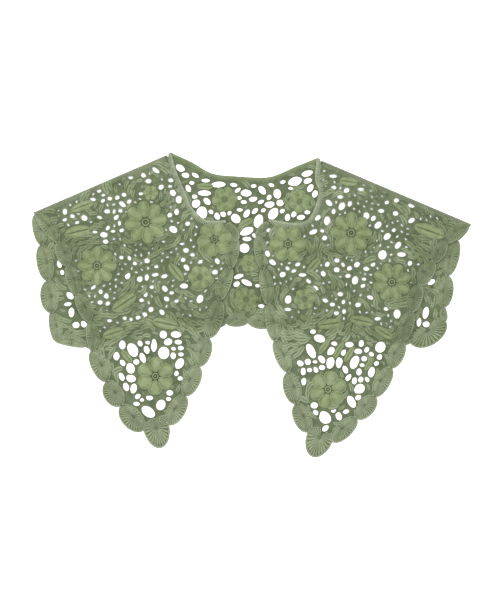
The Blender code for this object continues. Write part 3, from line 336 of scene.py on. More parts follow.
RIGHT_POINT_GAPS = [
    Gap(67.0, -25.5, 5.2, 4.0, 0.0),
    Gap(74.0, -32.5, 11.0, 7.2, -15.0),
    Gap(65.5, -46.0, 15.5, 7.2, -62.0),
    Gap(89.5, -38.0, 5.8, 4.6, 0.0),
    Gap(86.5, -45.5, 10.0, 5.6, 65.0),
    Gap(77.0, -54.5, 8.4, 5.2, -50.0),
    Gap(55.0, -59.5, 7.4, 4.8, -35.0),
    Gap(62.5, -57.5, 5.8, 5.4, 0.0),
    Gap(58.0, -67.5, 8.6, 4.4, 90.0),
    Gap(70.0, -57.0, 4.4, 2.8, 0.0),
    Gap(64.5, -66.0, 4.6, 3.4, 0.0),
    Gap(71.0, -65.5, 5.4, 4.2, -60.0),
    Gap(77.5, -63.0, 5.6, 4.2, 0.0),
    Gap(86.0, -57.5, 12.0, 7.6, 80.0),
    Gap(95.5, -57.0, 11.4, 6.0, 85.0),
    Gap(105.5, -38.0, 8.0, 5.0, 0.0),
    Gap(99.5, -47.0, 7.0, 3.6, 60.0),
    Gap(118.0, -36.5, 6.4, 4.6, 80.0),
    Gap(115.0, -45.0, 7.0, 5.0, 0.0),
    Gap(111.5, -56.5, 13.6, 7.8, 68.0),
    Gap(124.0, -43.0, 5.2, 4.0, 60.0),
    Gap(129.0, -47.5, 4.6, 3.4, -40.0),
    Gap(138.0, -39.8, 11.0, 9.6, 60.0),
    Gap(137.5, -50.5, 5.6, 4.2, 60.0),
    Gap(134.5, -57.0, 5.2, 3.6, 45.0),
    Gap(121.5, -52.5, 5.0, 4.4, 0.0),
    Gap(119.5, -59.3, 4.4, 2.8, 0.0),
    Gap(102.0, -64.5, 8.0, 4.4, -65.0),
    Gap(105.5, -72.5, 7.6, 4.2, 60.0),
    Gap(116.5, -66.5, 6.4, 4.6, 80.0),
    Gap(129.5, -66.5, 10.6, 5.8, 75.0),
    Gap(125.5, -74.0, 5.0, 4.0, -60.0),
    Gap(112.0, -76.0, 6.6, 4.4, 80.0),
    Gap(118.5, -74.5, 5.4, 4.4, 60.0),
    Gap(117.5, -84.5, 11.0, 9.0, 50.0),
    Gap(109.5, -98.0, 12.6, 7.0, -60.0),
    Gap(116.5, -93.0, 6.4, 4.6, 50.0),
    Gap(70.5, -103.0, 6.6, 5.6, 0.0),
    Gap(58.8, -78.0, 7.6, 4.2, 90.0),
    Gap(82.0, -115.5, 14.0, 10.5, -50.0),
    Gap(72.5, -110.5, 6.0, 3.8, -40.0),
    Gap(83.0, -126.5, 7.4, 4.4, 50.0),
    Gap(91.0, -108.0, 4.6, 3.2, 0.0),
    Gap(96.5, -113.5, 8.0, 5.4, -70.0),
    Gap(104.0, -108.5, 5.6, 3.4, 20.0),
]
print("gaps of the lapel points:", len(LEFT_POINT_GAPS), "and", len(RIGHT_POINT_GAPS))

# %% [markdown]
# The rest pass through a front and the back below it. They are smaller and lie further apart,
# because light comes through only where a gap of one layer meets a gap of the other.

# %% Gaps through both layers
LEFT_THROUGH_GAPS = [
    Gap(-102.5, 139.0, 9.0, 4.2, -35.0),
    Gap(-115.5, 133.5, 6.0, 4.4, -30.0),
    Gap(-110.0, 127.5, 6.2, 5.0, 0.0),
    Gap(-128.5, 130.5, 5.6, 3.0, 0.0),
    Gap(-86.5, 129.0, 5.6, 4.2, 0.0),
    Gap(-96.5, 121.5, 6.0, 4.8, 45.0),
    Gap(-87.0, 122.5, 4.6, 3.0, 0.0),
    Gap(-84.0, 116.0, 7.2, 6.0, -60.0),
    Gap(-77.5, 109.0, 8.0, 6.6, 90.0),
    Gap(-117.5, 114.0, 5.0, 3.2, 0.0),
    Gap(-161.5, 116.0, 5.6, 4.4, -45.0),
    Gap(-157.0, 111.5, 4.6, 3.2, 0.0),
    Gap(-167.5, 106.5, 6.2, 3.6, 0.0),
    Gap(-157.0, 105.5, 5.0, 3.6, 45.0),
    Gap(-150.0, 108.0, 5.2, 4.0, 0.0),
    Gap(-142.0, 109.0, 5.2, 4.4, 45.0),
    Gap(-135.0, 112.5, 5.2, 4.2, 0.0),
    Gap(-129.5, 105.5, 5.4, 4.0, 45.0),
    Gap(-136.5, 102.5, 8.0, 4.6, -35.0),
    Gap(-138.5, 95.5, 4.6, 4.0, 0.0),
    Gap(-152.0, 94.5, 7.0, 4.4, 0.0),
    Gap(-145.5, 94.5, 5.0, 3.8, 60.0),
    Gap(-142.5, 88.5, 6.4, 4.2, 50.0),
    Gap(-139.0, 82.5, 5.4, 3.2, 90.0),
    Gap(-196.5, 93.0, 6.4, 4.6, 90.0),
    Gap(-188.5, 88.5, 5.0, 4.0, -30.0),
    Gap(-196.5, 84.5, 5.0, 3.4, 20.0),
    Gap(-176.0, 87.0, 6.8, 5.6, -30.0),
    Gap(-183.5, 82.0, 4.8, 3.0, 15.0),
    Gap(-160.0, 88.0, 6.0, 2.8, -15.0),
    Gap(-155.0, 70.0, 8.0, 5.8, 0.0),
    Gap(-151.0, 77.0, 5.6, 3.8, 60.0),
    Gap(-145.5, 73.8, 5.0, 3.0, 0.0),
    Gap(-153.0, 62.8, 6.0, 4.4, 0.0),
    Gap(-164.5, 72.5, 5.2, 3.2, 0.0),
    Gap(-136.5, 75.0, 5.0, 4.0, 30.0),
    Gap(-86.5, 92.5, 5.4, 4.6, 45.0),
    Gap(-79.5, 96.0, 6.6, 5.0, 90.0),
    Gap(-82.5, 77.5, 9.0, 6.6, -30.0),
    Gap(-67.5, 84.0, 5.6, 4.4, 30.0),
    Gap(-73.0, 63.0, 5.0, 3.2, 0.0),
    Gap(-164.5, 14.5, 6.6, 3.4, 40.0),
    Gap(-156.5, 10.0, 5.6, 4.4, -40.0),
    Gap(-151.0, 6.0, 6.4, 5.0, -60.0),
    Gap(-157.0, -1.0, 5.6, 4.6, 0.0),
    Gap(-149.0, -2.0, 5.2, 4.2, 30.0),
    Gap(-146.5, -20.0, 5.2, 3.2, 0.0),
    Gap(-129.0, 27.5, 7.0, 5.6, 70.0),
    Gap(-122.0, 41.0, 5.6, 4.2, -20.0),
    Gap(-127.5, 46.0, 6.0, 3.4, -60.0),
    Gap(-136.0, 46.5, 4.8, 3.8, 0.0),
    Gap(-109.0, 44.0, 5.8, 5.2, 0.0),
    Gap(-116.0, 24.5, 6.4, 5.4, 45.0),
    Gap(-108.8, 26.5, 7.2, 4.6, 80.0),
    Gap(-100.0, 29.5, 7.2, 3.8, 10.0),
    Gap(-90.5, 28.2, 7.2, 4.0, 15.0),
    Gap(-99.0, 38.0, 4.8, 3.2, 10.0),
    Gap(-89.5, 15.0, 7.2, 5.0, -50.0),
    Gap(-82.5, 11.0, 5.2, 3.4, 0.0),
    Gap(-103.0, 16.5, 5.2, 3.8, 10.0),
    Gap(-109.5, 8.5, 6.0, 4.0, 75.0),
    Gap(-113.5, 2.5, 5.2, 4.0, 10.0),
    Gap(-87.5, 4.5, 6.0, 4.8, -30.0),
    Gap(-77.0, 2.5, 5.0, 3.4, 20.0),
    Gap(-103.5, -7.0, 5.8, 5.0, 30.0),
    Gap(-110.0, -12.5, 5.6, 4.6, -20.0),
    Gap(-117.0, -16.0, 6.2, 4.0, 20.0),
    Gap(-124.0, -18.0, 5.0, 3.8, 10.0),
    Gap(-130.5, -17.0, 4.8, 3.6, 0.0),
    Gap(-92.0, -9.5, 6.4, 4.6, -50.0),
    Gap(-69.5, 18.5, 8.6, 5.2, 0.0),
    Gap(-67.5, 38.0, 7.2, 4.8, -50.0),
    Gap(-71.5, 46.0, 5.6, 4.6, 0.0),
    Gap(-68.5, 56.0, 5.8, 5.0, 0.0),
    Gap(-61.5, 51.5, 5.2, 3.6, 0.0),
    Gap(-52.5, 5.5, 9.0, 6.6, 65.0),
    Gap(-53.0, 44.5, 5.6, 3.6, 30.0),
    Gap(-35.5, 45.5, 6.4, 4.4, -60.0),
    Gap(-37.5, 34.0, 6.0, 5.0, 20.0),
]
RIGHT_THROUGH_GAPS = [
    Gap(17.5, 79.5, 5.2, 4.4, 0.0),
    Gap(17.0, 55.0, 6.8, 5.2, -70.0),
    Gap(22.5, 46.0, 8.0, 5.0, -35.0),
    Gap(33.5, 33.5, 6.6, 5.6, 30.0),
    Gap(38.5, 40.0, 5.0, 3.8, -40.0),
    Gap(45.0, 37.5, 6.0, 3.4, 20.0),
    Gap(49.0, 44.5, 5.6, 3.8, 30.0),
    Gap(54.5, 33.5, 8.6, 3.8, 0.0),
    Gap(61.0, 27.0, 7.0, 3.6, -45.0),
    Gap(68.0, 20.5, 8.0, 3.8, -30.0),
    Gap(40.0, 7.5, 8.8, 6.6, 80.0),
    Gap(40.0, -3.0, 7.0, 3.4, 0.0),
    Gap(64.5, 79.0, 9.2, 4.8, 25.0),
    Gap(73.5, 80.5, 5.0, 3.6, -20.0),
    Gap(83.5, 138.0, 8.0, 3.6, 0.0),
    Gap(98.0, 123.5, 6.4, 4.8, 30.0),
    Gap(113.0, 125.0, 6.6, 3.4, 0.0),
    Gap(84.5, 126.0, 5.2, 4.2, 0.0),
    Gap(91.5, 116.5, 6.2, 3.8, 0.0),
    Gap(93.5, 106.8, 8.8, 6.0, 60.0),
    Gap(101.8, 109.5, 6.2, 4.2, 70.0),
    Gap(80.0, 110.0, 8.0, 5.2, -40.0),
    Gap(85.0, 101.0, 5.6, 4.2, 80.0),
    Gap(78.5, 91.0, 9.4, 6.4, 85.0),
    Gap(68.5, 94.0, 7.4, 4.8, 40.0),
    Gap(119.5, 97.5, 7.4, 6.0, 90.0),
    Gap(127.0, 95.0, 6.0, 4.8, 50.0),
    Gap(132.0, 88.0, 8.8, 5.8, 45.0),
    Gap(135.0, 103.0, 6.6, 4.0, 0.0),
    Gap(150.0, 100.8, 5.8, 4.8, 0.0),
    Gap(142.0, 76.5, 9.2, 5.8, 45.0),
    Gap(148.5, 83.0, 5.2, 3.6, 40.0),
    Gap(166.5, 109.5, 7.0, 4.2, -10.0),
    Gap(143.0, 119.5, 5.6, 4.6, 45.0),
    Gap(150.5, 114.5, 5.4, 4.4, 20.0),
    Gap(140.5, 112.0, 5.0, 3.6, 30.0),
    Gap(167.0, 94.0, 7.6, 4.6, 35.0),
    Gap(153.5, 67.5, 8.4, 5.2, 55.0),
    Gap(76.5, 73.0, 5.8, 4.6, 30.0),
    Gap(137.5, 57.0, 10.0, 8.6, 70.0),
    Gap(157.5, 58.0, 9.2, 4.8, 0.0),
    Gap(166.5, 49.0, 5.6, 4.4, 60.0),
    Gap(111.0, 46.0, 7.0, 5.2, 40.0),
    Gap(103.5, 42.0, 6.0, 4.4, 30.0),
    Gap(121.0, 42.0, 6.6, 4.2, 0.0),
    Gap(128.0, 46.5, 5.6, 3.6, 30.0),
    Gap(90.0, 50.0, 5.6, 5.0, 0.0),
    Gap(96.5, 45.5, 5.0, 3.4, -50.0),
    Gap(90.0, 40.0, 6.2, 5.2, 0.0),
    Gap(80.0, 45.5, 5.6, 4.6, 45.0),
    Gap(76.0, 35.5, 6.0, 5.0, -60.0),
    Gap(102.0, 34.0, 6.0, 4.2, 10.0),
    Gap(109.5, 29.5, 8.8, 6.4, 80.0),
    Gap(119.0, 31.0, 4.8, 3.4, 0.0),
    Gap(118.0, 24.0, 5.4, 3.8, 30.0),
    Gap(126.0, 12.0, 7.0, 4.2, -20.0),
    Gap(94.5, 14.5, 5.8, 4.4, 0.0),
    Gap(79.0, 7.5, 6.0, 4.0, -20.0),
    Gap(86.5, 3.5, 5.6, 4.0, 10.0),
    Gap(98.0, 6.5, 4.8, 3.8, 60.0),
    Gap(113.5, 4.0, 6.4, 4.6, 20.0),
    Gap(143.0, 0.5, 5.4, 4.2, 0.0),
    Gap(154.5, -4.5, 9.6, 7.2, 90.0),
    Gap(134.5, -10.0, 7.0, 3.8, 10.0),
    Gap(91.0, -5.5, 5.4, 4.0, 0.0),
    Gap(99.0, -3.5, 5.0, 4.0, 90.0),
]
print("gaps through both layers:", len(LEFT_THROUGH_GAPS), "and", len(RIGHT_THROUGH_GAPS))

# %% [markdown]
# These are the cloth's own sizes: the wall of the lace, how high the worked motifs stand on it,
# and the widths of the braid and of the shoulder seam. They repeat the sizes of the packed
# solids, so that each worked piece lies where its solid lies.

# %% Sizes of the cloth, in millimetres
WALL = 1.2
RELIEF = 0.6
SEAM_GAP = 0.3
BRAID_WIDTH = 4.0
SEAM_WIDTH = 3.0
SEAM_START = 5.8
LAP_LIFT = WALL + RELIEF + SEAM_GAP
LEVEL_PAST_HEM = 4.5
DROP_LENGTH = 14.0
EDGE_CLOTH = {"hem": 4.0, "neck": 1.5, "shoulder": 2.0}
UNDER_MARGIN = 0.8
print("a front lies", round(LAP_LIFT, 1), "mm over the table where it lies on the back")

# %% [markdown]
# The plan needs a few tools. A neck edge is drawn as a smooth curve through its corners, an edge
# can be moved in by a width, and each hem edge becomes half an ellipse on its chord.

# %% Tools for a panel's outline
NECK_STEPS = 3


def with_smooth_necks(rows):
    """Rows with points added between neck corners on a cubic curve: its slope at a corner is half the
    step from the corner before to the corner after."""
    count = len(rows)
    found = []
    for index, row in enumerate(rows):
        found.append(row)
        if row.edge != "neck":
            continue
        after = rows[(index + 1) % count]
        before = rows[index - 1] if rows[index - 1].edge == "neck" else None
        beyond = rows[(index + 2) % count] if after.edge == "neck" else None
        start, end = np.array(row[:2]), np.array(after[:2])
        start_slope = (end - np.array(before[:2])) / 2 if before else end - start
        end_slope = (np.array(beyond[:2]) - start) / 2 if beyond else end - start
        for step in range(1, NECK_STEPS):
            t = step / NECK_STEPS
            point = (
                start * (2 * t**3 - 3 * t**2 + 1)
                + end * (3 * t**2 - 2 * t**3)
                + start_slope * (t**3 - 2 * t**2 + t)
                + end_slope * (t**3 - t**2)
            )
            found.append(Row(point[0], point[1], "neck", 0.0))
    return found


def inset(rows, amounts):
    """Rows with each kind of edge moved in by its own amount: each corner is where its two moved
    edges meet."""
    points = np.array([row[:2] for row in rows])
    along = np.roll(points, -1, axis=0) - points
    along /= np.linalg.norm(along, axis=1)[:, None]
    inward = np.stack([-along[:, 1], along[:, 0]], axis=1)
    moves = np.array([amounts.get(row.edge, 0.0) for row in rows])
    found = []
    for index, row in enumerate(rows):
        sides = np.stack([inward[index - 1], inward[index]])
        wanted = np.array([moves[index - 1], moves[index]])
        if abs(np.linalg.det(sides)) < 0.02:
            shift = inward[index] * moves[index]
        else:
            shift = np.linalg.solve(sides, wanted)
        found.append(Row(row.x + shift[0], row.y + shift[1], row.edge, row.bulge))
    return found


def scalloped(rows, steps):
    """Outline points: a bowed edge is half an ellipse, its middle plus half its chord times minus
    the cosine, plus its bulge times the sine, of a half turn."""
    outline = []
    for index, row in enumerate(rows):
        start = np.array(row[:2])
        chord = np.array(rows[(index + 1) % len(rows)][:2]) - start
        outward = np.array([chord[1], -chord[0]]) / np.linalg.norm(chord)
        outline.append(start[None])
        if row.bulge:
            turn = math.pi * np.arange(1, steps)[:, None] / steps
            outline.append(start + chord * (1 - np.cos(turn)) / 2 + outward * row.bulge * np.sin(turn))
    return np.concatenate(outline)


print("a neck edge has", NECK_STEPS, "steps from corner to corner")

# %% [markdown]
# Two questions come back all through the work: how far a place is from the panel's edges, and
# whether it is inside them. Both are answered for all the places at once.

# %% Places beside an outline
def segment_distances(points, starts, ends):
    """The distance from each point, down, to each segment, across: to its foot on the segment."""
    along = ends - starts
    offsets = points[:, None] - starts
    t = np.clip((offsets * along).sum(2) / (along**2).sum(1), 0.0, 1.0)
    return np.linalg.norm(offsets - t[..., None] * along, axis=2)


def inside(points, polygon):
    """Whether each point is in the polygon: a ray from it crosses the sides an odd number of times."""
    x, y = points[:, 0, None], points[:, 1, None]
    x0, y0 = polygon.T
    x1, y1 = np.roll(polygon, -1, axis=0).T
    rise = np.where(y1 == y0, 1.0, y1 - y0)
    crossed = ((y0 > y) != (y1 > y)) & (x < x0 + (y - y0) * (x1 - x0) / rise)
    return crossed.sum(1) % 2 == 1


print("outline tools ready")

# %% [markdown]
# The net of a guipure is even without being regular, like a honeycomb that has been pulled about.
# Middles are dropped at random, never too near each other, and then each moves to the middle of its
# own ground. Distances to ovals and to flowers tell where there is room for a gap or a stitch.

# %% Tools for the net
NEAREST_SHARE = 0.78
SAMPLE_PARTS = 8
PETAL_NOTCH = 0.16


def oval_depths(points, ovals):
    """How far each point, down, lies inside each oval, across: one less its ratio of distances, times
    half the oval's width."""
    offset = points[:, None] - ovals[:, :2]
    turn = np.radians(ovals[:, 4])
    along = (offset[..., 0] * np.cos(turn) + offset[..., 1] * np.sin(turn)) / (ovals[:, 2] / 2)
    across = (offset[..., 1] * np.cos(turn) - offset[..., 0] * np.sin(turn)) / (ovals[:, 3] / 2)
    return (1 - np.hypot(along, across)) * ovals[:, 3] / 2


def flower_clearance(points, flower):
    """The distance outside a flower's petals: from its middle, less a radius that dips between petals."""
    offset = points - (flower.x, flower.y)
    angle = np.arctan2(offset[:, 1], offset[:, 0]) - math.radians(flower.turn)
    dip = 1 - np.abs(np.cos(flower.petals * angle / 2))
    return np.hypot(offset[:, 0], offset[:, 1]) - flower.radius * (1 - PETAL_NOTCH * dip)


def spread(samples, pitch, seed):
    """Middles picked from the samples in a shuffled order, none nearer than most of a pitch."""
    order = np.random.default_rng(seed).permutation(len(samples))
    chosen = samples[order[:1]]
    for index in order[1:]:
        if np.hypot(*(chosen - samples[index]).T).min() > NEAREST_SHARE * pitch:
            chosen = np.vstack([chosen, samples[index]])
    return chosen


def settled(samples, middles):
    """Each middle moved to the mean of the samples that are nearest to it."""
    nearest = np.concatenate([
        ((part[:, None] - middles) ** 2).sum(axis=2).argmin(axis=1)
        for part in np.array_split(samples, SAMPLE_PARTS)
    ])
    total = np.bincount(nearest, minlength=len(middles))
    sums = [np.bincount(nearest, samples[:, axis], len(middles)) for axis in (0, 1)]
    kept = total > 0
    return np.stack(sums, axis=1)[kept] / total[kept, None]


def smoothed(reach):
    """Reaches evened out between neighbouring rays, and never made longer."""
    return np.minimum(reach, (np.roll(reach, 1) + 2 * reach + np.roll(reach, -1)) / 4)


print("net tools ready")

# %% [markdown]
# A panel is planned once and then worked many times over: the ground, the flowers, the hem and the
# sprigs all ask it where its edges and its gaps are. The braid and the seams cover its outer rim,
# so its lace starts inside them. Its chart keeps the ovals, and its net the gaps made from them.

# %% A panel's plan
PLAN_STEPS = 8
OPEN_REACH = 0.45


class Panel:
    """A lace panel's plan: its corners, its outline, its motifs and the gaps in its ground. The first
    gaps of its list, as many as single says, are those of one layer."""

    def __init__(self, name, rows, flowers, leaves, gaps, single):
        self.name = name
        self.rows = with_smooth_necks(rows)
        self.flowers = flowers
        self.leaves = leaves
        self.single = single
        self.chart = np.array(gaps)
        self.open_chart = self.chart.copy()
        self.open_chart[:single, 2:4] += 2 * OPEN_REACH
        covered = {"neck": BRAID_WIDTH + SEAM_GAP, "shoulder": SEAM_WIDTH + SEAM_GAP}
        self.base_rows = inset(self.rows, covered)
        self.base = np.array([row[:2] for row in self.base_rows])
        self.outline = scalloped(self.base_rows, PLAN_STEPS)

    def edge_room(self, points, cloth):
        """How far inside each point is from the edges, less the cloth kept along each kind of edge."""
        kept = np.array([cloth[row.edge] for row in self.base_rows])
        ends = np.roll(self.base, -1, axis=0)
        room = (segment_distances(points, self.base, ends) - kept).min(axis=1)
        return np.where(inside(points, self.base), room, -1.0)

    def lattice(self, step):
        """Points of an even square lattice that lie in the panel."""
        low, high = self.base.min(axis=0), self.base.max(axis=0)
        columns = np.arange(low[0], high[0], step)
        lines = np.arange(low[1], high[1], step)
        grid = np.stack(np.meshgrid(columns, lines), axis=-1).reshape(-1, 2)
        return grid[inside(grid, self.base)]


print("a plan's outline has", PLAN_STEPS, "steps to a scallop")

# %% [markdown]
# A charted gap is its oval, cut back on each ray where it would come nearer than a bar to another
# oval or to an edge. Where a ray is cut back much shorter than its oval, two ovals crowd each other
# and the gap is left out.

# %% Cut the charted gaps
GAP_CORNERS = 16
LEAST_BAR = 2.2
LEAST_REACH = 0.3
SHARE_STEPS = 40
RAY_TURN = np.arange(GAP_CORNERS) * 2 * math.pi / GAP_CORNERS
RAY_WAYS = np.stack([np.cos(RAY_TURN), np.sin(RAY_TURN)], axis=1)


def charted_gaps(panel):
    """Middles, ways and reaches of the charted gaps, and which have thin bars: each ray runs to its
    oval, or to the last step that leaves a bar to the other ovals and cloth at the edges. A gap
    of one layer is open a little further, so that its bars are thin."""
    shares = np.arange(1, SHARE_STEPS + 1) / SHARE_STEPS
    middles, ways, reaches, thin = [], [], [], []
    for index, oval in enumerate(panel.chart):
        turn = math.radians(oval[4])
        along = np.array([math.cos(turn), math.sin(turn)])
        across = np.array([-along[1], along[0]])
        edge = RAY_WAYS[:, :1] * along * oval[2] / 2 + RAY_WAYS[:, 1:] * across * oval[3] / 2
        points = (oval[:2] + edge[:, None] * shares[:, None]).reshape(-1, 2)
        depths = oval_depths(points, panel.chart)
        own = depths[:, index].copy()
        depths[:, index] = -np.inf
        room = np.minimum(own - depths.max(axis=1) - LEAST_BAR, panel.edge_room(points, EDGE_CLOTH))
        free = np.cumprod(room.reshape(GAP_CORNERS, -1) >= 0, axis=1).sum(axis=1) / SHARE_STEPS
        if free.min() < LEAST_REACH:
            continue
        span = np.linalg.norm(edge, axis=1)
        middles.append(oval[:2])
        ways.append(edge / span[:, None])
        reaches.append(smoothed(free) * span + OPEN_REACH * (index < panel.single))
        thin.append(index < panel.single)
    return np.array(middles), np.array(ways), np.array(reaches), np.array(thin)


print("a charted gap has", GAP_CORNERS, "rays")

# %% [markdown]
# The finer net is spread over a front where it lies on the back, in the ground that motifs, edges
# and charted gaps leave free. Its gaps are under 4 mm wide. Each ray of a gap stops half a bar
# short of the next gap's ground.

# %% Spread the finer net
FINE_PITCH = 7.8
FINE_BAR = 3.4
FINE_REACH = 1.9
FINE_STEP = 0.19
FINE_CLOTH = {"hem": 8.5, "neck": 2.0, "shoulder": 2.5}
LEAST_FINE_GAP = 1.5
SLIMMING = 0.45
SAMPLE_STEP = 1.5
SETTLING_ROUNDS = 6
MOTIF_MARGIN = 1.2


def fine_room(panel, points):
    """How far each point is from motifs, edges and charted gaps, less what is kept for each."""
    room = panel.edge_room(points, FINE_CLOTH)
    for flower in panel.flowers:
        room = np.minimum(room, flower_clearance(points, flower) - MOTIF_MARGIN)
    leaves = np.array([leaf[:5] for leaf in panel.leaves])
    room = np.minimum(room, -oval_depths(points, leaves).max(axis=1) - MOTIF_MARGIN)
    return np.minimum(room, -oval_depths(points, panel.chart).max(axis=1) - LEAST_BAR)


def fine_gaps(panel, under, seed):
    """Middles and reaches of the finer net's gaps over another panel: each ray runs to half a bar
    short of the next gap's ground, or to the edge of the open ground, and a gap is narrower one
    way."""
    samples = panel.lattice(SAMPLE_STEP)
    samples = samples[fine_room(panel, samples) > LEAST_FINE_GAP / 2]
    samples = samples[inside(samples, under.base)]
    lean = np.random.default_rng(seed).uniform(0, math.pi, len(samples))
    middles = spread(samples, FINE_PITCH, seed)
    for _ in range(SETTLING_ROUNDS):
        middles = settled(samples, middles)
    steps = np.arange(FINE_STEP, FINE_REACH, FINE_STEP)
    reaches = []
    for index, middle in enumerate(middles):
        points = (middle + RAY_WAYS[:, None] * steps[:, None]).reshape(-1, 2)
        apart = np.delete(middles, index, axis=0) - middle
        spans = np.linalg.norm(apart, axis=1)
        near = spans < 2 * FINE_PITCH
        shares = spans[near] / 2 - (points - middle) @ (apart[near] / spans[near, None]).T
        neighbours = shares.min(axis=1, initial=FINE_PITCH) - FINE_BAR / 2
        room = np.minimum(neighbours, fine_room(panel, points)).reshape(GAP_CORNERS, -1)
        free = np.cumprod(room >= 0, axis=1).sum(axis=1) * FINE_STEP
        slim = 1 - SLIMMING * np.sin(RAY_TURN - lean[index]) ** 2
        reaches.append(smoothed(free * slim))
    reaches = np.array(reaches)
    kept = reaches.min(axis=1) > LEAST_FINE_GAP / 4
    kept &= reaches.mean(axis=1) > LEAST_FINE_GAP / 2
    return middles[kept], reaches[kept]


print("a fine gap reaches up to", FINE_REACH, "mm from its middle")

# %% [markdown]
# The back takes over the fine gaps that have open ground below them. Then the charted gaps and the
# finer ones of a panel are put together into one net.

# %% Carry the net into the back
def shared_gaps(panel, middles, reaches):
    """The gaps that go on through this panel, and which ones do: each ray is a little longer, and
    is cut back where this panel's open ground ends."""
    shares = np.linspace(0.1, 1.0, 10)
    found = []
    for middle, reach in zip(middles, reaches + UNDER_MARGIN / 2):
        points = middle + RAY_WAYS[:, None] * (reach[:, None] * shares)[..., None]
        room = fine_room(panel, points.reshape(-1, 2)).reshape(GAP_CORNERS, -1)
        free = np.cumprod(room >= 0, axis=1).sum(axis=1) / len(shares)
        found.append(smoothed(free * reach))
    found = np.array(found)
    kept = (found.min(axis=1) > LEAST_FINE_GAP / 4) & (found.mean(axis=1) > LEAST_FINE_GAP / 2)
    return found, kept


def gather_net(panel, fine):
    """Give the panel its charted gaps and its finer ones: their middles, ways and reaches, and which
    have thin bars."""
    charted = charted_gaps(panel)
    middles, reaches = fine
    ways = np.broadcast_to(RAY_WAYS, (len(middles),) + RAY_WAYS.shape)
    fine = (middles, ways, reaches, np.zeros(len(middles), bool))
    both = [np.concatenate(pair) for pair in zip(charted, fine)]
    panel.middles, panel.ways, panel.reaches, panel.thin = both
    print(panel.name, "gaps:", len(charted[0]), "charted and", len(middles), "fine")


print("a shared gap is wider in the back by", UNDER_MARGIN, "mm")

# %% [markdown]
# The back is planned with its neck's gaps and with every gap that goes on through both layers, a
# little wider there. Each front adds the gaps of its lapel point. Then the finer net is spread over
# the fronts and carried down into the back, and every second gap that goes through is a speck: no
# sprig is worked over it, so that light shows as it does between the stitches in the photo.

# %% Plan the three panels
SPECK_SHARE = 2


def wider(gaps):
    """The same gaps a little wider, so that one seen through a front's gap shows no rim."""
    return [gap._replace(length=gap.length + UNDER_MARGIN, width=gap.width + UNDER_MARGIN) for gap in gaps]


through = LEFT_THROUGH_GAPS + RIGHT_THROUGH_GAPS
back_gaps = NECK_GAPS + wider(through)
back = Panel("back_lace", BACK_ROWS, BACK_FLOWERS, BACK_LEAVES, back_gaps, len(NECK_GAPS))
left_gaps = LEFT_POINT_GAPS + LEFT_THROUGH_GAPS
left_single = len(LEFT_POINT_GAPS)
left = Panel("front_left_lace", LEFT_ROWS, LEFT_FLOWERS, LEFT_LEAVES, left_gaps, left_single)
right_gaps = RIGHT_POINT_GAPS + RIGHT_THROUGH_GAPS
right_single = len(RIGHT_POINT_GAPS)
right = Panel("front_right_lace", RIGHT_ROWS, RIGHT_FLOWERS, RIGHT_LEAVES, right_gaps, right_single)
shared = []
for front, seed in ((left, 2), (right, 3)):
    fine = fine_gaps(front, back, seed)
    gather_net(front, fine)
    below, kept = shared_gaps(back, *fine)
    front.specks = fine[0][kept][::SPECK_SHARE]
    shared.append((fine[0][kept], below[kept]))
gather_net(back, [np.concatenate(pair) for pair in zip(*shared)])
back.specks = np.concatenate([left.specks, right.specks])
print("specks of light through both layers:", len(back.specks))

# %% [markdown]
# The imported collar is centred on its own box, so the plan is moved by a small step to fit it: the
# right corner gives the step across, and the left neck corner the step up. A front lies on the
# back, and past the back's hem it comes down to the table on an S curve.

# %% Where the cloth lies
seam_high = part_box("shoulder_seam_right")[1]
neck_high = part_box("neck_band_back")[1]
POINTS_AT_ONCE = 4000
PACKED_CORNER = np.array([seam_high[0], neck_high[1]]) / MILLIMETRE
SHIFT = PACKED_CORNER - (RIGHT_ROWS[-1].x, BACK_ROWS[0].y)
print("the plan moves by", SHIFT.round(2), "mm")


def no_lift(points):
    """The back's underside: on the table."""
    return np.zeros(len(points))


def front_lift(points):
    """A front's underside: level on the back, then falling by three times t squared less two times t
    cubed, where t is the share of the drop that a point has gone past the back's hem."""
    found = []
    for part in np.array_split(points, max(1, len(points) // POINTS_AT_ONCE)):
        starts, ends = back.outline, np.roll(back.outline, -1, axis=0)
        outside = segment_distances(part, starts, ends).min(axis=1)
        outside[inside(part, back.outline)] = 0.0
        t = np.clip((outside - LEVEL_PAST_HEM) / DROP_LENGTH, 0.0, 1.0)
        found.append(LAP_LIFT * (1 - t * t * (3 - 2 * t)))
    return np.concatenate(found)


# %% [markdown]
# Where two layers lie together and no gap is near, little light comes back through the ground, so
# painted shade makes the cotton deeper there. A coarse table over the plan holds how dense the cloth
# is at each place, and the stitches of the ground, the sprigs and the hem read their painted shade
# from it. The flowers and leaves stand clear of it, and take about half as much. Three places are
# deeper in the photo and get painted shade as well: the back's hem between the fronts, and one motif on
# each front.

# %% How dense the cloth is
TABLE_LOW = np.array([-240.0, -171.0])
TABLE_STEP = 3.0
TABLE_SIZE = (161, 115)
DENSE_START = 1.0
DENSE_REACH = 7.0
DENSE_SHADE = 0.32
MOTIF_SHADE = 0.15
Deep = namedtuple("Deep", "x y radius")
# Places of painted shade: a middle and a radius.
DEEP_SHADE_PLACES = [Deep(-4.0, 7.0, 22.0), Deep(186.0, 72.0, 22.0), Deep(-40.0, 68.0, 20.0)]


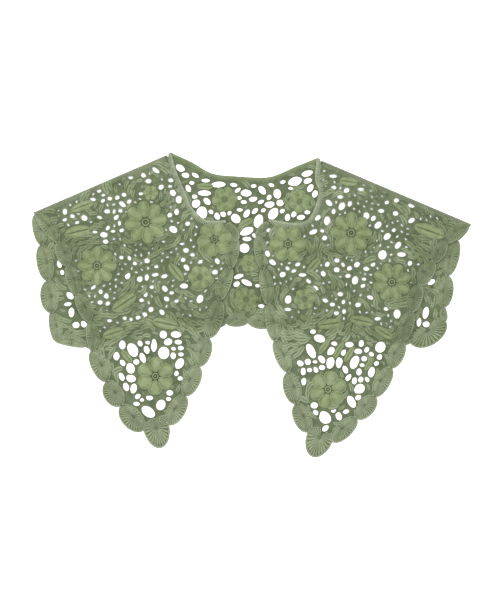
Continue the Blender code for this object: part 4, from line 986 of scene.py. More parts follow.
def dense_shade_table():
    """How much painted shade each place gets: one where both layers lie and no gap is within a reach,
    nought at a gap or past an edge, and growing to one inside each deep place; then each place is averaged
    with its eight neighbours."""
    columns, lines = (TABLE_LOW[axis] + TABLE_STEP * np.arange(TABLE_SIZE[axis]) for axis in (0, 1))
    points = np.stack(np.meshgrid(columns, lines, indexing="ij"), axis=-1).reshape(-1, 2)
    lapped = inside(points, left.outline) | inside(points, right.outline)
    lapped &= inside(points, back.outline)
    room = -np.max([oval_depths(points, panel.chart).max(axis=1) for panel in (back, left, right)], axis=0)
    dense = np.clip((room - DENSE_START) / DENSE_REACH, 0, 1) * lapped
    for deep in DEEP_SHADE_PLACES:
        apart = np.linalg.norm(points - (deep.x, deep.y), axis=1)
        dense = np.maximum(dense, np.clip(2 - 2 * apart / deep.radius, 0, 1))
    dense = dense.reshape(TABLE_SIZE)
    dense = (np.roll(dense, 1, axis=0) + dense + np.roll(dense, -1, axis=0)) / 3
    return (np.roll(dense, 1, axis=1) + dense + np.roll(dense, -1, axis=1)) / 3


def dense_shade_at(points, table):
    """The table read between the four places nearest to each point, each weighed by how near it is."""
    spot = (points[:, :2] - TABLE_LOW) / TABLE_STEP
    cell = np.clip(spot.astype(int), 0, np.array(TABLE_SIZE) - 2)
    share = np.clip(spot - cell, 0, 1)
    found = np.zeros(len(points))
    for right_side in (0, 1):
        for upper_side in (0, 1):
            weight = np.abs(1 - right_side - share[:, 0]) * np.abs(1 - upper_side - share[:, 1])
            found += weight * table[cell[:, 0] + right_side, cell[:, 1] + upper_side]
    return found


dense_shade_map = dense_shade_table()
print("dense share of the table:", round(float(dense_shade_map.mean()), 3))

# %% [markdown]
# Every worked piece is gathered as arrays and becomes one mesh at the end. It carries a UV map in
# millimetres, along the thread and across it, and an attribute called tone, which holds painted light
# and shade: low for painted shade in the crevices between stitches, high for a painted highlight on their
# crowns.

# %% Gather points and faces into one mesh
class Work:
    """One piece of needlework in the making: its points, faces, UVs and tones."""

    def __init__(self, name, shade=0.0):
        self.name = name
        self.shade = shade
        self.points = []
        self.tones = []
        self.faces = []
        self.uvs = []
        self.count = 0

    def add(self, points, tones, faces, uvs):
        """Take a batch of points, and of faces that all have the same number of corners."""
        self.points.append(points)
        self.tones.append(tones)
        for group, uv in zip(faces, uvs):
            self.faces.append(group + self.count)
            self.uvs.append(uv)
        self.count += len(points)

    def finish(self, material, level):
        """Put the arrays into a mesh object at the origin: the tones are times the level, a painted shade
        over the whole piece, and times one less the shade where the cloth is dense, painted shade too."""
        points = np.concatenate(self.points)
        tones = np.concatenate(self.tones) * level
        tones *= 1 - self.shade * dense_shade_at(points, dense_shade_map)
        points[:, :2] += SHIFT
        corners = np.concatenate([group.ravel() for group in self.faces])
        sizes = np.concatenate([np.full(len(group), group.shape[1]) for group in self.faces])
        mesh = bpy.data.meshes.new(self.name)
        mesh.vertices.add(len(points))
        mesh.vertices.foreach_set("co", (points * MILLIMETRE).ravel())
        mesh.loops.add(len(corners))
        mesh.loops.foreach_set("vertex_index", corners.astype(np.int32))
        mesh.polygons.add(len(sizes))
        mesh.polygons.foreach_set("loop_start", (np.cumsum(sizes) - sizes).astype(np.int32))
        mesh.polygons.foreach_set("use_smooth", np.ones(len(sizes), bool))
        mesh.update(calc_edges=True)
        layer = mesh.uv_layers.new(name="UVMap")
        layer.uv.foreach_set("vector", np.concatenate([uv.reshape(-1, 2) for uv in self.uvs]).ravel())
        tone = mesh.attributes.new("tone", "FLOAT", "POINT")
        tone.data.foreach_set("value", tones)
        mesh.materials.append(material)
        mesh.validate()
        thing = bpy.data.objects.new(self.name, mesh)
        bpy.context.scene.collection.objects.link(thing)
        triangles = int((sizes - 2).sum())
        print(self.name, "triangles:", triangles)
        return thing


print("a piece is gathered as points, faces, UVs and tones")

# %% [markdown]
# Nearly all the needlework is domes: half-round bodies carried along a path, as padded stitches are.
# A petal is a short wide dome, a cord is a long narrow one, and a rib of a scallop lies between.

# %% Bodies and domes
def sides_of(paths):
    """A unit vector to the left of each point of each path: its step turned by a right angle."""
    step = np.gradient(paths, axis=-2)
    step /= np.maximum(np.linalg.norm(step, axis=-1), 1e-9)[..., None]
    return np.stack([-step[..., 1], step[..., 0]], axis=-1)


def add_bodies(work, points, uv, tone):
    """Closed bodies: points are bodies by stations by places round the section, each section drawn
    from the right side over the top. Neighbouring sections are joined and the two ends are capped."""
    bodies, stations, places = points.shape[:3]
    index = np.arange(bodies * stations * places).reshape(bodies, stations, places)
    after = np.roll(index, -1, axis=2)
    quads = np.stack([index[:, :-1], index[:, 1:], after[:, 1:], after[:, :-1]], axis=-1).reshape(-1, 4)
    caps = np.concatenate([index[:, 0], index[:, -1, ::-1]])
    flat_uv = uv.reshape(-1, 2)
    work.add(points.reshape(-1, 3), tone.ravel(), [quads, caps], [flat_uv[quads], flat_uv[caps]])


def add_domes(work, path, half_width, height, base, places=8, round_top=0.75, dark=0.2):
    """Raised stitches along paths: across, each goes from half a width right to half a width left; up,
    it is its height times the sine of the turn over the top to a power, on a flat underside."""
    side = -sides_of(path)
    over = places - 2
    turn = np.concatenate([np.linspace(0, math.pi, over), [math.pi, 0.0]])
    across = np.cos(turn)
    up = np.concatenate([0.12 + 0.88 * np.sin(turn[:over]) ** round_top, [0.0, 0.0]])
    plan = path[:, :, None] + side[:, :, None] * (half_width[..., None] * across)[..., None]
    level = base[..., None] + height[..., None] * up
    points = np.concatenate([plan, level[..., None]], axis=-1)
    run = np.linalg.norm(np.diff(path, axis=1), axis=2).cumsum(axis=1)
    run = np.concatenate([np.zeros((len(path), 1)), run], axis=1)
    uv = np.stack(np.broadcast_arrays(run[..., None], half_width[..., None] * across), axis=-1)
    # The tone is painted light and shade: the dark share is painted shade at the foot of each dome, rising
    # to one, a painted highlight, on its crown.
    tone = np.broadcast_to(dark + (1 - dark) * up, points.shape[:3])
    add_bodies(work, points, uv, tone.copy())


print("needlework tools ready")

# %% [markdown]
# The ground of each panel is one closed wall with every gap cut through. Round each gap the edge
# is rolled, as the overcast stitches make it: rings of points climb from the underside over the
# wall of the gap to a crown, and come down to the flat. Bars of one layer have a narrower roll.

# %% Rings round the gaps
# Each ring's tone is painted light and shade: low down the wall of the gap, where shade falls, and high on
# the crown of the roll.
Ring = namedtuple("Ring", "out height tone")
GAP_RINGS = [
    Ring(0.85, 0.0, 0.2),
    Ring(0.25, 0.0, 0.15),
    Ring(0.0, 0.45, 0.15),
    Ring(0.22, 0.95, 0.5),
    Ring(0.55, 1.28, 0.9),
    Ring(0.95, 1.0, 0.42),
]
RING_OUTS = np.array([ring.out for ring in GAP_RINGS])
RING_HEIGHTS = np.array([ring.height for ring in GAP_RINGS])
RING_TONES = np.array([ring.tone for ring in GAP_RINGS])
THIN_ROLL = 0.55


def gap_rings(panel):
    """How far out each gap's rings lie, and their points, as gaps by rings by corners: each is on its
    ray, at the gap's reach plus how far out the ring is."""
    out = RING_OUTS * np.where(panel.thin, THIN_ROLL, 1.0)[:, None]
    reach = panel.reaches[:, None] + out[..., None]
    return out, panel.middles[:, None, None] + panel.ways[:, None] * reach[..., None]


def ring_strips(rings, out, first, count):
    """Faces between neighbouring rings, and their UVs: the run round the gap, and how far out. The
    plan has count points, and the rings in it come after its first ones, those of the outline."""
    gaps, levels, corners = rings.shape[:3]
    spot = np.arange(gaps * corners).reshape(gaps, corners)
    columns = np.concatenate([
        (count + first + spot)[..., None],
        2 * count + spot[..., None] * (levels - 2) + np.arange(levels - 2),
        (first + spot)[..., None],
    ], axis=2)
    after = np.roll(columns, -1, axis=1)
    strips = np.stack([columns[..., :-1], columns[..., 1:], after[..., 1:], after[..., :-1]], axis=-1)
    around = np.linalg.norm(np.diff(rings, axis=2, append=rings[:, :, :1]), axis=3).mean(axis=1)
    ends = around.cumsum(axis=1)
    starts = ends - around
    uv = np.zeros(strips.shape + (2,))
    uv[..., 0] = np.stack([starts, starts, ends, ends], axis=-1)[:, :, None]
    uv[..., [0, 3], 1] = out[:, None, :-1, None]
    uv[..., [1, 2], 1] = out[:, None, 1:, None] + 1.0
    return strips.reshape(-1, 4), uv.reshape(-1, 4, 2)


print("rings round a gap:", len(GAP_RINGS))

# %% [markdown]
# The flat stretches between the rings are filled by a triangulation that keeps the rings' edges, on
# the top and on the underside alike. A coarse lattice in it lets the fronts slope smoothly down.

# %% Work the ground
OUTLINE_STEPS = 12
FILL_STEP = 6.0
FILL_MARGIN = 2.0


def area_of(polygon):
    """Half the sum of the cross products of neighbouring corners."""
    after = np.roll(polygon, -1, axis=0)
    return abs((polygon[:, 0] * after[:, 1] - polygon[:, 1] * after[:, 0]).sum()) / 2


def clear_lattice(panel):
    """Lattice points on the panel's cloth, clear of every gap, to carry its slopes."""
    grid = panel.lattice(FILL_STEP)
    apart = np.linalg.norm(grid[:, None] - panel.middles, axis=2)
    far = (apart > panel.reaches.max(axis=1) + FILL_MARGIN).all(axis=1)
    rim = segment_distances(grid, panel.outline, np.roll(panel.outline, -1, axis=0)).min(axis=1)
    return grid[far & (rim > FILL_MARGIN)]


def work_ground(panel, lift):
    """The panel's wall: rings round the gaps, and the fill between them, on both faces. The area of
    its cloth is the outline's, less the areas of the gaps."""
    work = Work(panel.name, DENSE_SHADE)
    out, rings = gap_rings(panel)
    gaps, _, corners = rings.shape[:3]
    outline = scalloped(panel.base_rows, OUTLINE_STEPS)
    plan = np.vstack([outline, rings[:, -1].reshape(-1, 2), clear_lattice(panel)])
    first, count = len(outline), len(plan)
    faces = [list(range(first))]
    faces += [list(range(first + gap * corners, first + (gap + 1) * corners)) for gap in range(gaps)]
    found = delaunay_2d_cdt([Vector(point) for point in plan], [], faces, 1, 1e-6)
    assert len(found[0]) == count
    fill = np.array([list(tri) for tri, owner in zip(found[2], found[5]) if list(owner) == [0]])
    under = lift(plan)
    top = np.column_stack([plan, under + WALL * RING_HEIGHTS[-1]])
    bottom = np.column_stack([plan, under])
    inner = rings[:, 1:-1].transpose(0, 2, 1, 3).reshape(-1, 2)
    middle = np.column_stack([inner, lift(inner) + WALL * np.tile(RING_HEIGHTS[1:-1], gaps * corners)])
    points = np.vstack([top, bottom, middle])
    tone = np.concatenate([
        np.full(count, RING_TONES[-1]),
        np.full(count, RING_TONES[0]),
        np.tile(RING_TONES[1:-1], gaps * corners),
    ])
    rim = np.arange(first)
    rim_after = np.roll(rim, -1)
    wall = np.stack([rim + count, rim_after + count, rim_after, rim], axis=1)
    groups = [fill, fill[:, ::-1] + count, wall]
    uvs = [points[:, :2][group] for group in groups]
    strips, strip_uv = ring_strips(rings, out, first, count)
    work.add(points, tone, groups + [strips], uvs + [strip_uv])
    cloth = area_of(outline) - sum(area_of(ring) for ring in rings[:, 2])
    return work, cloth


print("ground tools ready")

# %% [markdown]
# A flower is a ring of padded petals round an open centre with a knot in it. Each petal widens and
# then rounds off, and a low web, darkened with painted shade, lies between the petals. One array
# holds every petal of every flower on a panel.

# %% Petals and webs
PETAL_START = 0.22
PETAL_FULLNESS = 0.72
PETAL_STATIONS = 12
CORD_STATIONS = 22
CORD_HALF = 0.7
WEB_CORNERS = 48
WEB_SHARE = 0.93
WEB_HEIGHT = 0.32
WEB_SHADE_TONE = 0.15
KNOT_STATIONS = 19


def petal_axes(flowers):
    """Each petal's flower middle, direction, length and half width, as arrays over all the petals."""
    middles, angles, lengths, halves = [], [], [], []
    for flower in flowers:
        turn = math.radians(flower.turn) + 2 * math.pi * np.arange(flower.petals) / flower.petals
        middles.append(np.repeat([[flower.x, flower.y]], flower.petals, axis=0))
        angles.append(turn)
        lengths.append(np.full(flower.petals, flower.radius))
        half = flower.radius * PETAL_FULLNESS * math.tan(math.pi / flower.petals)
        halves.append(np.full(flower.petals, half))
    angle = np.concatenate(angles)
    way = np.stack([np.cos(angle), np.sin(angle)], axis=1)
    return np.concatenate(middles), way, np.concatenate(lengths), np.concatenate(halves)


def petal_width(share):
    """A petal's width at a share of its length: it grows like the sine, and its tip is round."""
    return np.sin(np.clip(share, 0, 1) * math.pi * 0.6 + 0.1) * np.sqrt(np.clip(1 - share**4, 0, 1))


def ground_under(path, lift):
    """The height of the cloth's top face under each point of each path."""
    return lift(path.reshape(-1, 2)).reshape(path.shape[:2]) + WALL


def add_webs(work, flowers, lift):
    """A low web under each flower, dark with painted shade, with an outline that dips between the petals.
    """
    turn = -np.arange(WEB_CORNERS) * 2 * math.pi / WEB_CORNERS
    circle = np.stack([np.cos(turn), np.sin(turn)], axis=1)
    for flower in flowers:
        dip = 1 - np.abs(np.cos(flower.petals * (turn - math.radians(flower.turn)) / 2))
        reach = flower.radius * (WEB_SHARE - PETAL_NOTCH * dip)
        rim = circle * reach[:, None] + (flower.x, flower.y)
        base = lift(rim) + WALL * 0.9
        levels = np.stack([base, base + WEB_HEIGHT])
        points = np.concatenate([np.broadcast_to(rim, (2,) + rim.shape), levels[..., None]], axis=2)
        tone = np.full(levels.shape, WEB_SHADE_TONE)
        add_bodies(work, points[None], points[None, ..., :2].copy(), tone[None])


print("a petal is", PETAL_STATIONS, "stations long, and starts at", PETAL_START, "of the radius")

# %% [markdown]
# The petals are domes, and an overcast cord runs round the edge of each. In the open centre a ring
# of thin cord lies round the knot. All of it stands on the web.

# %% Work the flowers
def work_flowers(name, flowers, lift, height):
    """Webs, petals as domes, cords along both sides and round the tip, and knots."""
    work = Work(name, MOTIF_SHADE)
    add_webs(work, flowers, lift)
    middle, way, length, half = petal_axes(flowers)
    side = np.stack([-way[:, 1], way[:, 0]], axis=1)
    share = np.linspace(0.0, 0.985, PETAL_STATIONS)
    reach = length[:, None] * (PETAL_START + (1 - PETAL_START) * share)
    width = half[:, None] * petal_width(share)
    path = middle[:, None] + way[:, None] * reach[..., None]
    rise = height * np.sin(np.clip(share, 0.05, 1) * math.pi * 0.62 + 0.2) + np.zeros_like(width)
    add_domes(work, path, width, rise, ground_under(path, lift), places=12, round_top=0.9, dark=0.0)
    share = 1 - np.abs(np.linspace(-1, 1, CORD_STATIONS)) ** 1.4
    lean = np.sign(np.linspace(-1, 1, CORD_STATIONS)) * petal_width(share)
    reach = length[:, None] * (PETAL_START + (1 - PETAL_START) * share)
    path = middle[:, None] + way[:, None] * reach[..., None]
    path = path + side[:, None] * (half[:, None] * lean * 0.97)[..., None]
    thick = np.full(path.shape[:2], CORD_HALF)
    add_domes(work, path, thick, thick * 0 + height * 0.9, ground_under(path, lift), places=8, dark=0.3)
    turn = np.linspace(0, 2 * math.pi, KNOT_STATIONS)
    circle = np.stack([np.cos(turn), np.sin(turn)], axis=1)
    for flower in flowers:
        for radius, thickness in ((flower.radius * 0.15, flower.radius * 0.04), (0.05, 1.0)):
            path = (np.array([flower.x, flower.y]) + circle * radius)[None]
            width = np.full(path.shape[:2], thickness)
            rise = np.full(path.shape[:2], height)
            add_domes(work, path, width, rise, ground_under(path, lift), dark=0.3)
    return work


print("flower tools ready")

# %% [markdown]
# A leaf is the same padded work on a straight axis, with a groove along its midrib. The short
# thick bars of the lapel points are small leaves.

# %% Work the leaves
LEAF_STATIONS = 14
LEAF_CORD_STATIONS = 29


def work_leaves(name, leaves, lift, height):
    """Two half domes side by side for each leaf, and a cord round its edge: the width follows the
    square root of one less the square of the share along it."""
    work = Work(name, MOTIF_SHADE)
    table = np.array([leaf[:5] for leaf in leaves])
    angle = np.radians(table[:, 4])
    way = np.stack([np.cos(angle), np.sin(angle)], axis=1)
    side = np.stack([-way[:, 1], way[:, 0]], axis=1)
    share = np.linspace(-0.97, 0.97, LEAF_STATIONS)
    shape = np.sqrt(1 - share**2)
    for hand in (-1, 1):
        width = table[:, 3, None] / 4 * shape
        path = table[:, None, :2] + way[:, None] * (share * table[:, 2, None] / 2)[..., None]
        path = path + side[:, None] * (hand * width)[..., None]
        rise = height * (0.35 + 0.65 * shape) + 0 * width
        add_domes(work, path, width, rise, ground_under(path, lift), places=9, dark=0.1)
    turn = np.linspace(0, 2 * math.pi, LEAF_CORD_STATIONS)
    path = table[:, None, :2] + way[:, None] * (np.cos(turn) * table[:, 2, None] / 2)[..., None]
    path = path + side[:, None] * (np.sin(turn) * table[:, 3, None] / 2)[..., None]
    thick = np.full(path.shape[:2], CORD_HALF)
    add_domes(work, path, thick, thick * 0 + height * 0.85, ground_under(path, lift), dark=0.3)
    return work


print("leaf tools ready")

# %% [markdown]
# Between the motifs the ground is filled with sprigs: small bent leaves of satin stitch. Their
# paths are bent a little, and each is tried against the charted gaps and the specks.

# %% Paths for the sprigs
SPRIG_BEND = 0.12
SPRIG_STATIONS = 7
SPECK_REACH = 2.8


def clear_paths(paths, panel, margin):
    """The paths that come no nearer than the margin to a charted gap."""
    inner = np.array([oval_depths(path, panel.open_chart).max() for path in paths])
    return inner < -margin


def off_specks(paths, panel):
    """The paths that come no nearer than a reach to a speck, which is a fine gap left uncovered."""
    apart = np.linalg.norm(paths[:, :, None] - panel.specks, axis=3)
    return apart.min(axis=(1, 2)) > SPECK_REACH


def sprig_paths(middles, angles, lengths):
    """Bent paths: along each angle by its length, and sideways by a bend times the share squared."""
    share = np.linspace(-1, 1, SPRIG_STATIONS)
    way = np.stack([np.cos(angles), np.sin(angles)], axis=1)
    side = np.stack([-way[:, 1], way[:, 0]], axis=1)
    path = middles[:, None] + way[:, None] * (share * lengths[:, None] / 2)[..., None]
    return path + side[:, None] * ((share**2 - 0.5) * SPRIG_BEND * lengths[:, None])[..., None]


print("a sprig has", SPRIG_STATIONS, "stations")

# %% [markdown]
# The sprigs are thrown evenly over the panel and curl round the nearest flower. One that lies over
# a gap is made shorter, and is left out if it still does. The rise of each is drawn at random, so
# that they overlap as loose stitches do.

# %% Work the sprigs
SPRIG_PITCH = 6.6
SPRIG_LENGTH = 11.5
SPRIG_WIDTH = 5.2
SPRIG_CLOTH = {"hem": 9.5, "neck": 2.0, "shoulder": 2.5}
SPRIG_TO_GAP = 1.6
SPRIG_TO_MOTIF = 1.5
SPRIG_SCATTER = 0.35
SHORTENINGS = (1.0, 0.75, 0.75, 0.75)


def work_sprigs(name, panel, lift, height, seed):
    """Leaves of two halves where their whole length is clear of the charted gaps, else shorter ones:
    a half is broad near its start, by the root of one less the share squared."""
    work = Work(name, DENSE_SHADE)
    samples = panel.lattice(SAMPLE_STEP)
    room = -oval_depths(samples, panel.open_chart).max(axis=1) - SPRIG_TO_GAP
    room = np.minimum(room, panel.edge_room(samples, SPRIG_CLOTH))
    for flower in panel.flowers:
        room = np.minimum(room, flower_clearance(samples, flower) - SPRIG_TO_MOTIF)
    leaves = np.array([leaf[:5] for leaf in panel.leaves])
    room = np.minimum(room, -oval_depths(samples, leaves).max(axis=1) - SPRIG_TO_MOTIF)
    middles = spread(samples[room > 0], SPRIG_PITCH, seed)
    blooms = np.array([flower[:2] for flower in panel.flowers])
    offset = middles[:, None] - blooms
    nearest = np.linalg.norm(offset, axis=2).argmin(axis=1)
    offset = offset[np.arange(len(middles)), nearest]
    chance = np.random.default_rng(seed)
    angles = np.arctan2(offset[:, 1], offset[:, 0]) + math.pi / 2
    angles += chance.normal(0, SPRIG_SCATTER, len(middles))
    lengths = SPRIG_LENGTH * chance.uniform(0.8, 1.2, len(middles))
    fits = np.zeros(len(middles), bool)
    for shortened in SHORTENINGS:
        lengths[~fits] *= shortened
        paths = sprig_paths(middles, angles, lengths)
        fits = clear_paths(paths, panel, SPRIG_WIDTH / 2 - 1.1) & off_specks(paths, panel)
    paths, lengths = paths[fits], lengths[fits]
    share = np.linspace(-0.97, 0.97, SPRIG_STATIONS)
    shape = np.sqrt(1 - share**2) * (1.1 - 0.35 * share)
    width = SPRIG_WIDTH / 4 * shape * (lengths / SPRIG_LENGTH)[:, None]
    rise = height * shape * chance.uniform(0.45, 0.95, len(paths))[:, None]
    for hand in (-0.92, 0.92):
        half = paths + sides_of(paths) * (hand * width)[..., None]
        add_domes(work, half, width, rise, ground_under(half, lift), places=7, dark=0.1)
    return work


print("sprig tools ready")

# %% [markdown]
# The hem is the densest work. Each scallop is a shell: ribs of satin stitch fan out from an eye a
# little way inside the chord, all round to the rim. A stout cord edges the outer rim, and short
# lengths of cord round off the inner side. No rib or cord is worked over a charted gap.

# %% Work the hem
RIBS = 26
EYE_DEPTH = 0.55
EYE_SHARE = 0.13
INNER_DEPTH = 0.36
DEEPEST_SHELL = 9.5
RIB_RISES = np.array([0.3, 0.55, 0.85, 1.0, 0.95, 0.6])
RIM_CORD_HALF = 0.95
INNER_CORD_HALF = 0.8
CORD_PIECES = 7


def shell_edge(panel, turn):
    """Points on each scallop's shell at each turn, and its eye: outside the chord the half ellipse of
    the scallop, and inside it a half ellipse as deep as a share of the chord."""
    edges, eyes = [], []
    for index, row in enumerate(panel.base_rows):
        if row.edge != "hem":
            continue
        start, end = panel.base[index], panel.base[(index + 1) % len(panel.base)]
        chord = end - start
        outward = np.array([chord[1], -chord[0]]) / np.linalg.norm(chord)
        depth = min(INNER_DEPTH * np.linalg.norm(chord), DEEPEST_SHELL)
        swell = np.sin(turn)
        bow = np.where(swell > 0, row.bulge * swell, depth * swell)
        edges.append((start + end) / 2 - chord / 2 * np.cos(turn)[:, None] + outward * bow[:, None])
        eyes.append((start + end) / 2 - outward * (depth * EYE_DEPTH - row.bulge * 0.25))
    return np.array(edges), np.array(eyes)


def work_hem(name, panel, lift, height):
    """Ribs from the eyes to the shells' edges, the outer rims' cords and pieces of inner cord."""
    work = Work(name, DENSE_SHADE)
    turn = (np.arange(RIBS) + 0.5) / RIBS * 2 * math.pi
    edge, eye = shell_edge(panel, turn)
    share = np.linspace(EYE_SHARE, 0.93, len(RIB_RISES))[:, None]
    paths = eye[:, None, None] + (edge - eye[:, None])[:, :, None] * share
    gap_after = np.linalg.norm(np.roll(edge, -1, axis=1) - edge, axis=2)
    gap_before = np.roll(gap_after, 1, axis=1)
    half = (gap_after + gap_before)[..., None] / 4 * share[:, 0] * 0.92
    paths, half = paths.reshape(-1, len(RIB_RISES), 2), half.reshape(-1, len(RIB_RISES))
    kept = clear_paths(paths, panel, 0.4)
    paths, half = paths[kept], half[kept]
    rise = height * RIB_RISES + 0 * half
    add_domes(work, paths, half, rise, ground_under(paths, lift), places=8, dark=0.05)
    turn = np.linspace(0, math.pi, 21)
    edge, eye = shell_edge(panel, turn)
    path = edge - (edge - eye[:, None]) * 0.05
    thick = np.full(path.shape[:2], RIM_CORD_HALF)
    add_domes(work, path, thick, thick * 0 + height * 1.15, ground_under(path, lift), dark=0.4)
    turn = math.pi + np.linspace(0, math.pi, CORD_PIECES * 3 + 1)
    edge, eye = shell_edge(panel, turn)
    pieces = np.concatenate([edge[:, 3 * piece:3 * piece + 4] for piece in range(CORD_PIECES)])
    pieces = pieces[clear_paths(pieces, panel, 0.5)]
    thick = np.full(pieces.shape[:2], INNER_CORD_HALF)
    add_domes(work, pieces, thick, thick * 0 + height, ground_under(pieces, lift), dark=0.3)
    return work


print("hem tools ready")

# %% [markdown]
# The neck is edged with a narrow braid, and the shoulders are closed by a ridge of overcast
# stitches. Both are sewn to the lace inside them by whipping: short stitches side by side, which
# climb over the edge and come down on the lace.

# %% Lines and whipping
WHIP_STEP = 1.7
WHIP_FALL = np.array([0.0, 0.05, 0.45, 0.95, 1.0])


def strip_lines(panel, edge, amounts, others):
    """The outer and the inner line of a strip along one kind of edge: the edge, and the edge moved in."""
    outer_rows = inset(panel.rows, others)
    inner_rows = inset(panel.rows, {**amounts, **others})
    wanted = [index for index, row in enumerate(panel.rows) if row.edge == edge]
    wanted.append((wanted[-1] + 1) % len(panel.rows))
    outer = np.array([outer_rows[index][:2] for index in wanted])
    inner = np.array([inner_rows[index][:2] for index in wanted])
    return outer, inner


def resampled(line, step):
    """The line's points at even steps along it."""
    run = np.concatenate([[0.0], np.linalg.norm(np.diff(line, axis=0), axis=1).cumsum()])
    places = np.linspace(0, run[-1], max(2, int(run[-1] / step)))
    return np.stack([np.interp(places, run, line[:, axis]) for axis in (0, 1)], axis=1)


def add_whipping(work, line, inward, reach, high, low):
    """Short stitches from a line over a piece's inner edge onto the lace, from high down to low."""
    share = np.linspace(0, 1, len(WHIP_FALL))
    path = line[:, None] + inward[:, None] * (share * reach)[:, None]
    base = high * (1 - WHIP_FALL) + low[:, None] * WHIP_FALL
    width = np.full(path.shape[:2], WHIP_STEP * 0.47)
    add_domes(work, path, width, np.full(path.shape[:2], 0.35), base, places=7, dark=0.1)


print("whipping stitches are", WHIP_STEP, "mm apart")

# %% [markdown]
# The braid and the seam are long low cords that swell and narrow with each stitch. The braid follows
# the middle of its strip, and the seam is straight, from the braid to the outer corner.

# %% Work the braid and the seams
SWELL_STEP = 0.6


def work_braid(name, panel, bottom):
    """A flat cord along the neck's middle line, swelling with each stitch, and whipping inside it."""
    work = Work(name)
    outer, inner = strip_lines(panel, "neck", {"neck": BRAID_WIDTH}, {"hem": -SEAM_GAP})
    path = resampled((outer + inner) / 2, SWELL_STEP)[None]
    swell = np.abs(np.sin(np.arange(path.shape[1]) * math.pi / 3))
    width = (BRAID_WIDTH / 2 * (0.9 + 0.1 * swell))[None]
    height = ((WALL + RELIEF) * (0.75 + 0.2 * swell))[None]
    add_domes(work, path, width, height, np.full(path.shape[:2], bottom), 12, 0.45, dark=0.0)
    line = resampled((outer + inner) / 2, WHIP_STEP)[2:-2]
    low = np.full(len(line), bottom + WALL - 0.1)
    add_whipping(work, line, sides_of(line), BRAID_WIDTH / 2 + 1.8, bottom + WALL + RELIEF - 0.35, low)
    return work


def work_seam(name, start, end):
    """A ridge of overcast stitches from the neck braid to the outer corner, whipped to the front."""
    work = Work(name)
    start, end = np.array(start), np.array(end)
    along = (end - start) / np.linalg.norm(end - start)
    inward = np.array([along[1], -along[0]])
    inward *= np.sign(-inward[1])
    line = np.stack([start + along * SEAM_START, end]) + inward * SEAM_WIDTH / 2
    path = resampled(line, SWELL_STEP)[None]
    swell = np.abs(np.sin(np.arange(path.shape[1]) * math.pi / 4))
    width = (SEAM_WIDTH / 2 * (0.86 + 0.14 * swell))[None]
    height = ((LAP_LIFT + WALL + RELIEF) * (0.8 + 0.12 * swell))[None]
    add_domes(work, path, width, height, np.zeros(path.shape[:2]), places=12, dark=0.0)
    line = resampled(line, WHIP_STEP)[2:-2]
    inwards = np.broadcast_to(inward, line.shape)
    low = front_lift(line + inward * SEAM_WIDTH) + WALL - 0.1
    high = (LAP_LIFT + WALL + RELIEF) * 0.85
    add_whipping(work, line, inwards, SEAM_WIDTH / 2 + 2.6, high, low)
    return work


print("edge tools ready")

# %% [markdown]
# One recipe makes each cotton. Its colour follows the tone attribute, which holds painted light and
# shade, and two drifts over the cloth, and its stitches are fine bands across the thread, read from the UV
# map in millimetres.

# %% Cotton material
def add_drift(nodes, links, place, scale, weight, before):
    """Noise over the cloth, times its weight, plus the value before it."""
    drift = nodes.new("ShaderNodeTexNoise")
    drift.inputs["Scale"].default_value = scale
    drift.inputs["Detail"].default_value = 2.0
    links.new(place.outputs["Object"], drift.inputs["Vector"])
    mixed = nodes.new("ShaderNodeMath")
    mixed.operation = "MULTIPLY_ADD"
    mixed.inputs[1].default_value = weight
    links.new(drift.outputs["Fac"], mixed.inputs[0])
    links.new(before, mixed.inputs[2])
    return mixed.outputs["Value"]


def cotton(name, dark, middle, light, stitch):
    """Node material: a ramp from dark to light over tone plus drifts, and bands of stitches as bump."""
    material = bpy.data.materials.new(name)
    material.use_nodes = True
    nodes, links = material.node_tree.nodes, material.node_tree.links
    shader = nodes["Principled BSDF"]
    shader.inputs["Roughness"].default_value = 0.85
    shader.inputs["Specular IOR Level"].default_value = 0.2
    shader.inputs["Sheen Weight"].default_value = 0.12
    shader.inputs["Sheen Roughness"].default_value = 0.5
    tone = nodes.new("ShaderNodeAttribute")
    tone.attribute_name = "tone"
    place = nodes.new("ShaderNodeTexCoord")
    value = add_drift(nodes, links, place, 45.0, 0.45, tone.outputs["Fac"])
    value = add_drift(nodes, links, place, 210.0, 0.55, value)
    spread_out = nodes.new("ShaderNodeMapRange")
    spread_out.inputs["From Min"].default_value = 0.55
    spread_out.inputs["From Max"].default_value = 1.6
    links.new(value, spread_out.inputs["Value"])
    ramp = nodes.new("ShaderNodeValToRGB")
    ramp.color_ramp.elements[0].position = 0.0
    ramp.color_ramp.elements[0].color = dark
    ramp.color_ramp.elements[1].position = 1.0
    ramp.color_ramp.elements[1].color = light
    half = ramp.color_ramp.elements.new(0.5)
    half.color = middle
    links.new(spread_out.outputs["Result"], ramp.inputs["Fac"])
    links.new(ramp.outputs["Color"], shader.inputs["Base Color"])
    bands = nodes.new("ShaderNodeTexWave")
    bands.inputs["Scale"].default_value = stitch
    bands.inputs["Distortion"].default_value = 1.2
    bands.inputs["Detail"].default_value = 1.0
    links.new(place.outputs["UV"], bands.inputs["Vector"])
    bump = nodes.new("ShaderNodeBump")
    bump.inputs["Strength"].default_value = 0.6
    bump.inputs["Distance"].default_value = 0.0003
    links.new(bands.outputs["Fac"], bump.inputs["Height"])
    links.new(bump.outputs["Normal"], shader.inputs["Normal"])
    return material


print("cotton recipe ready")
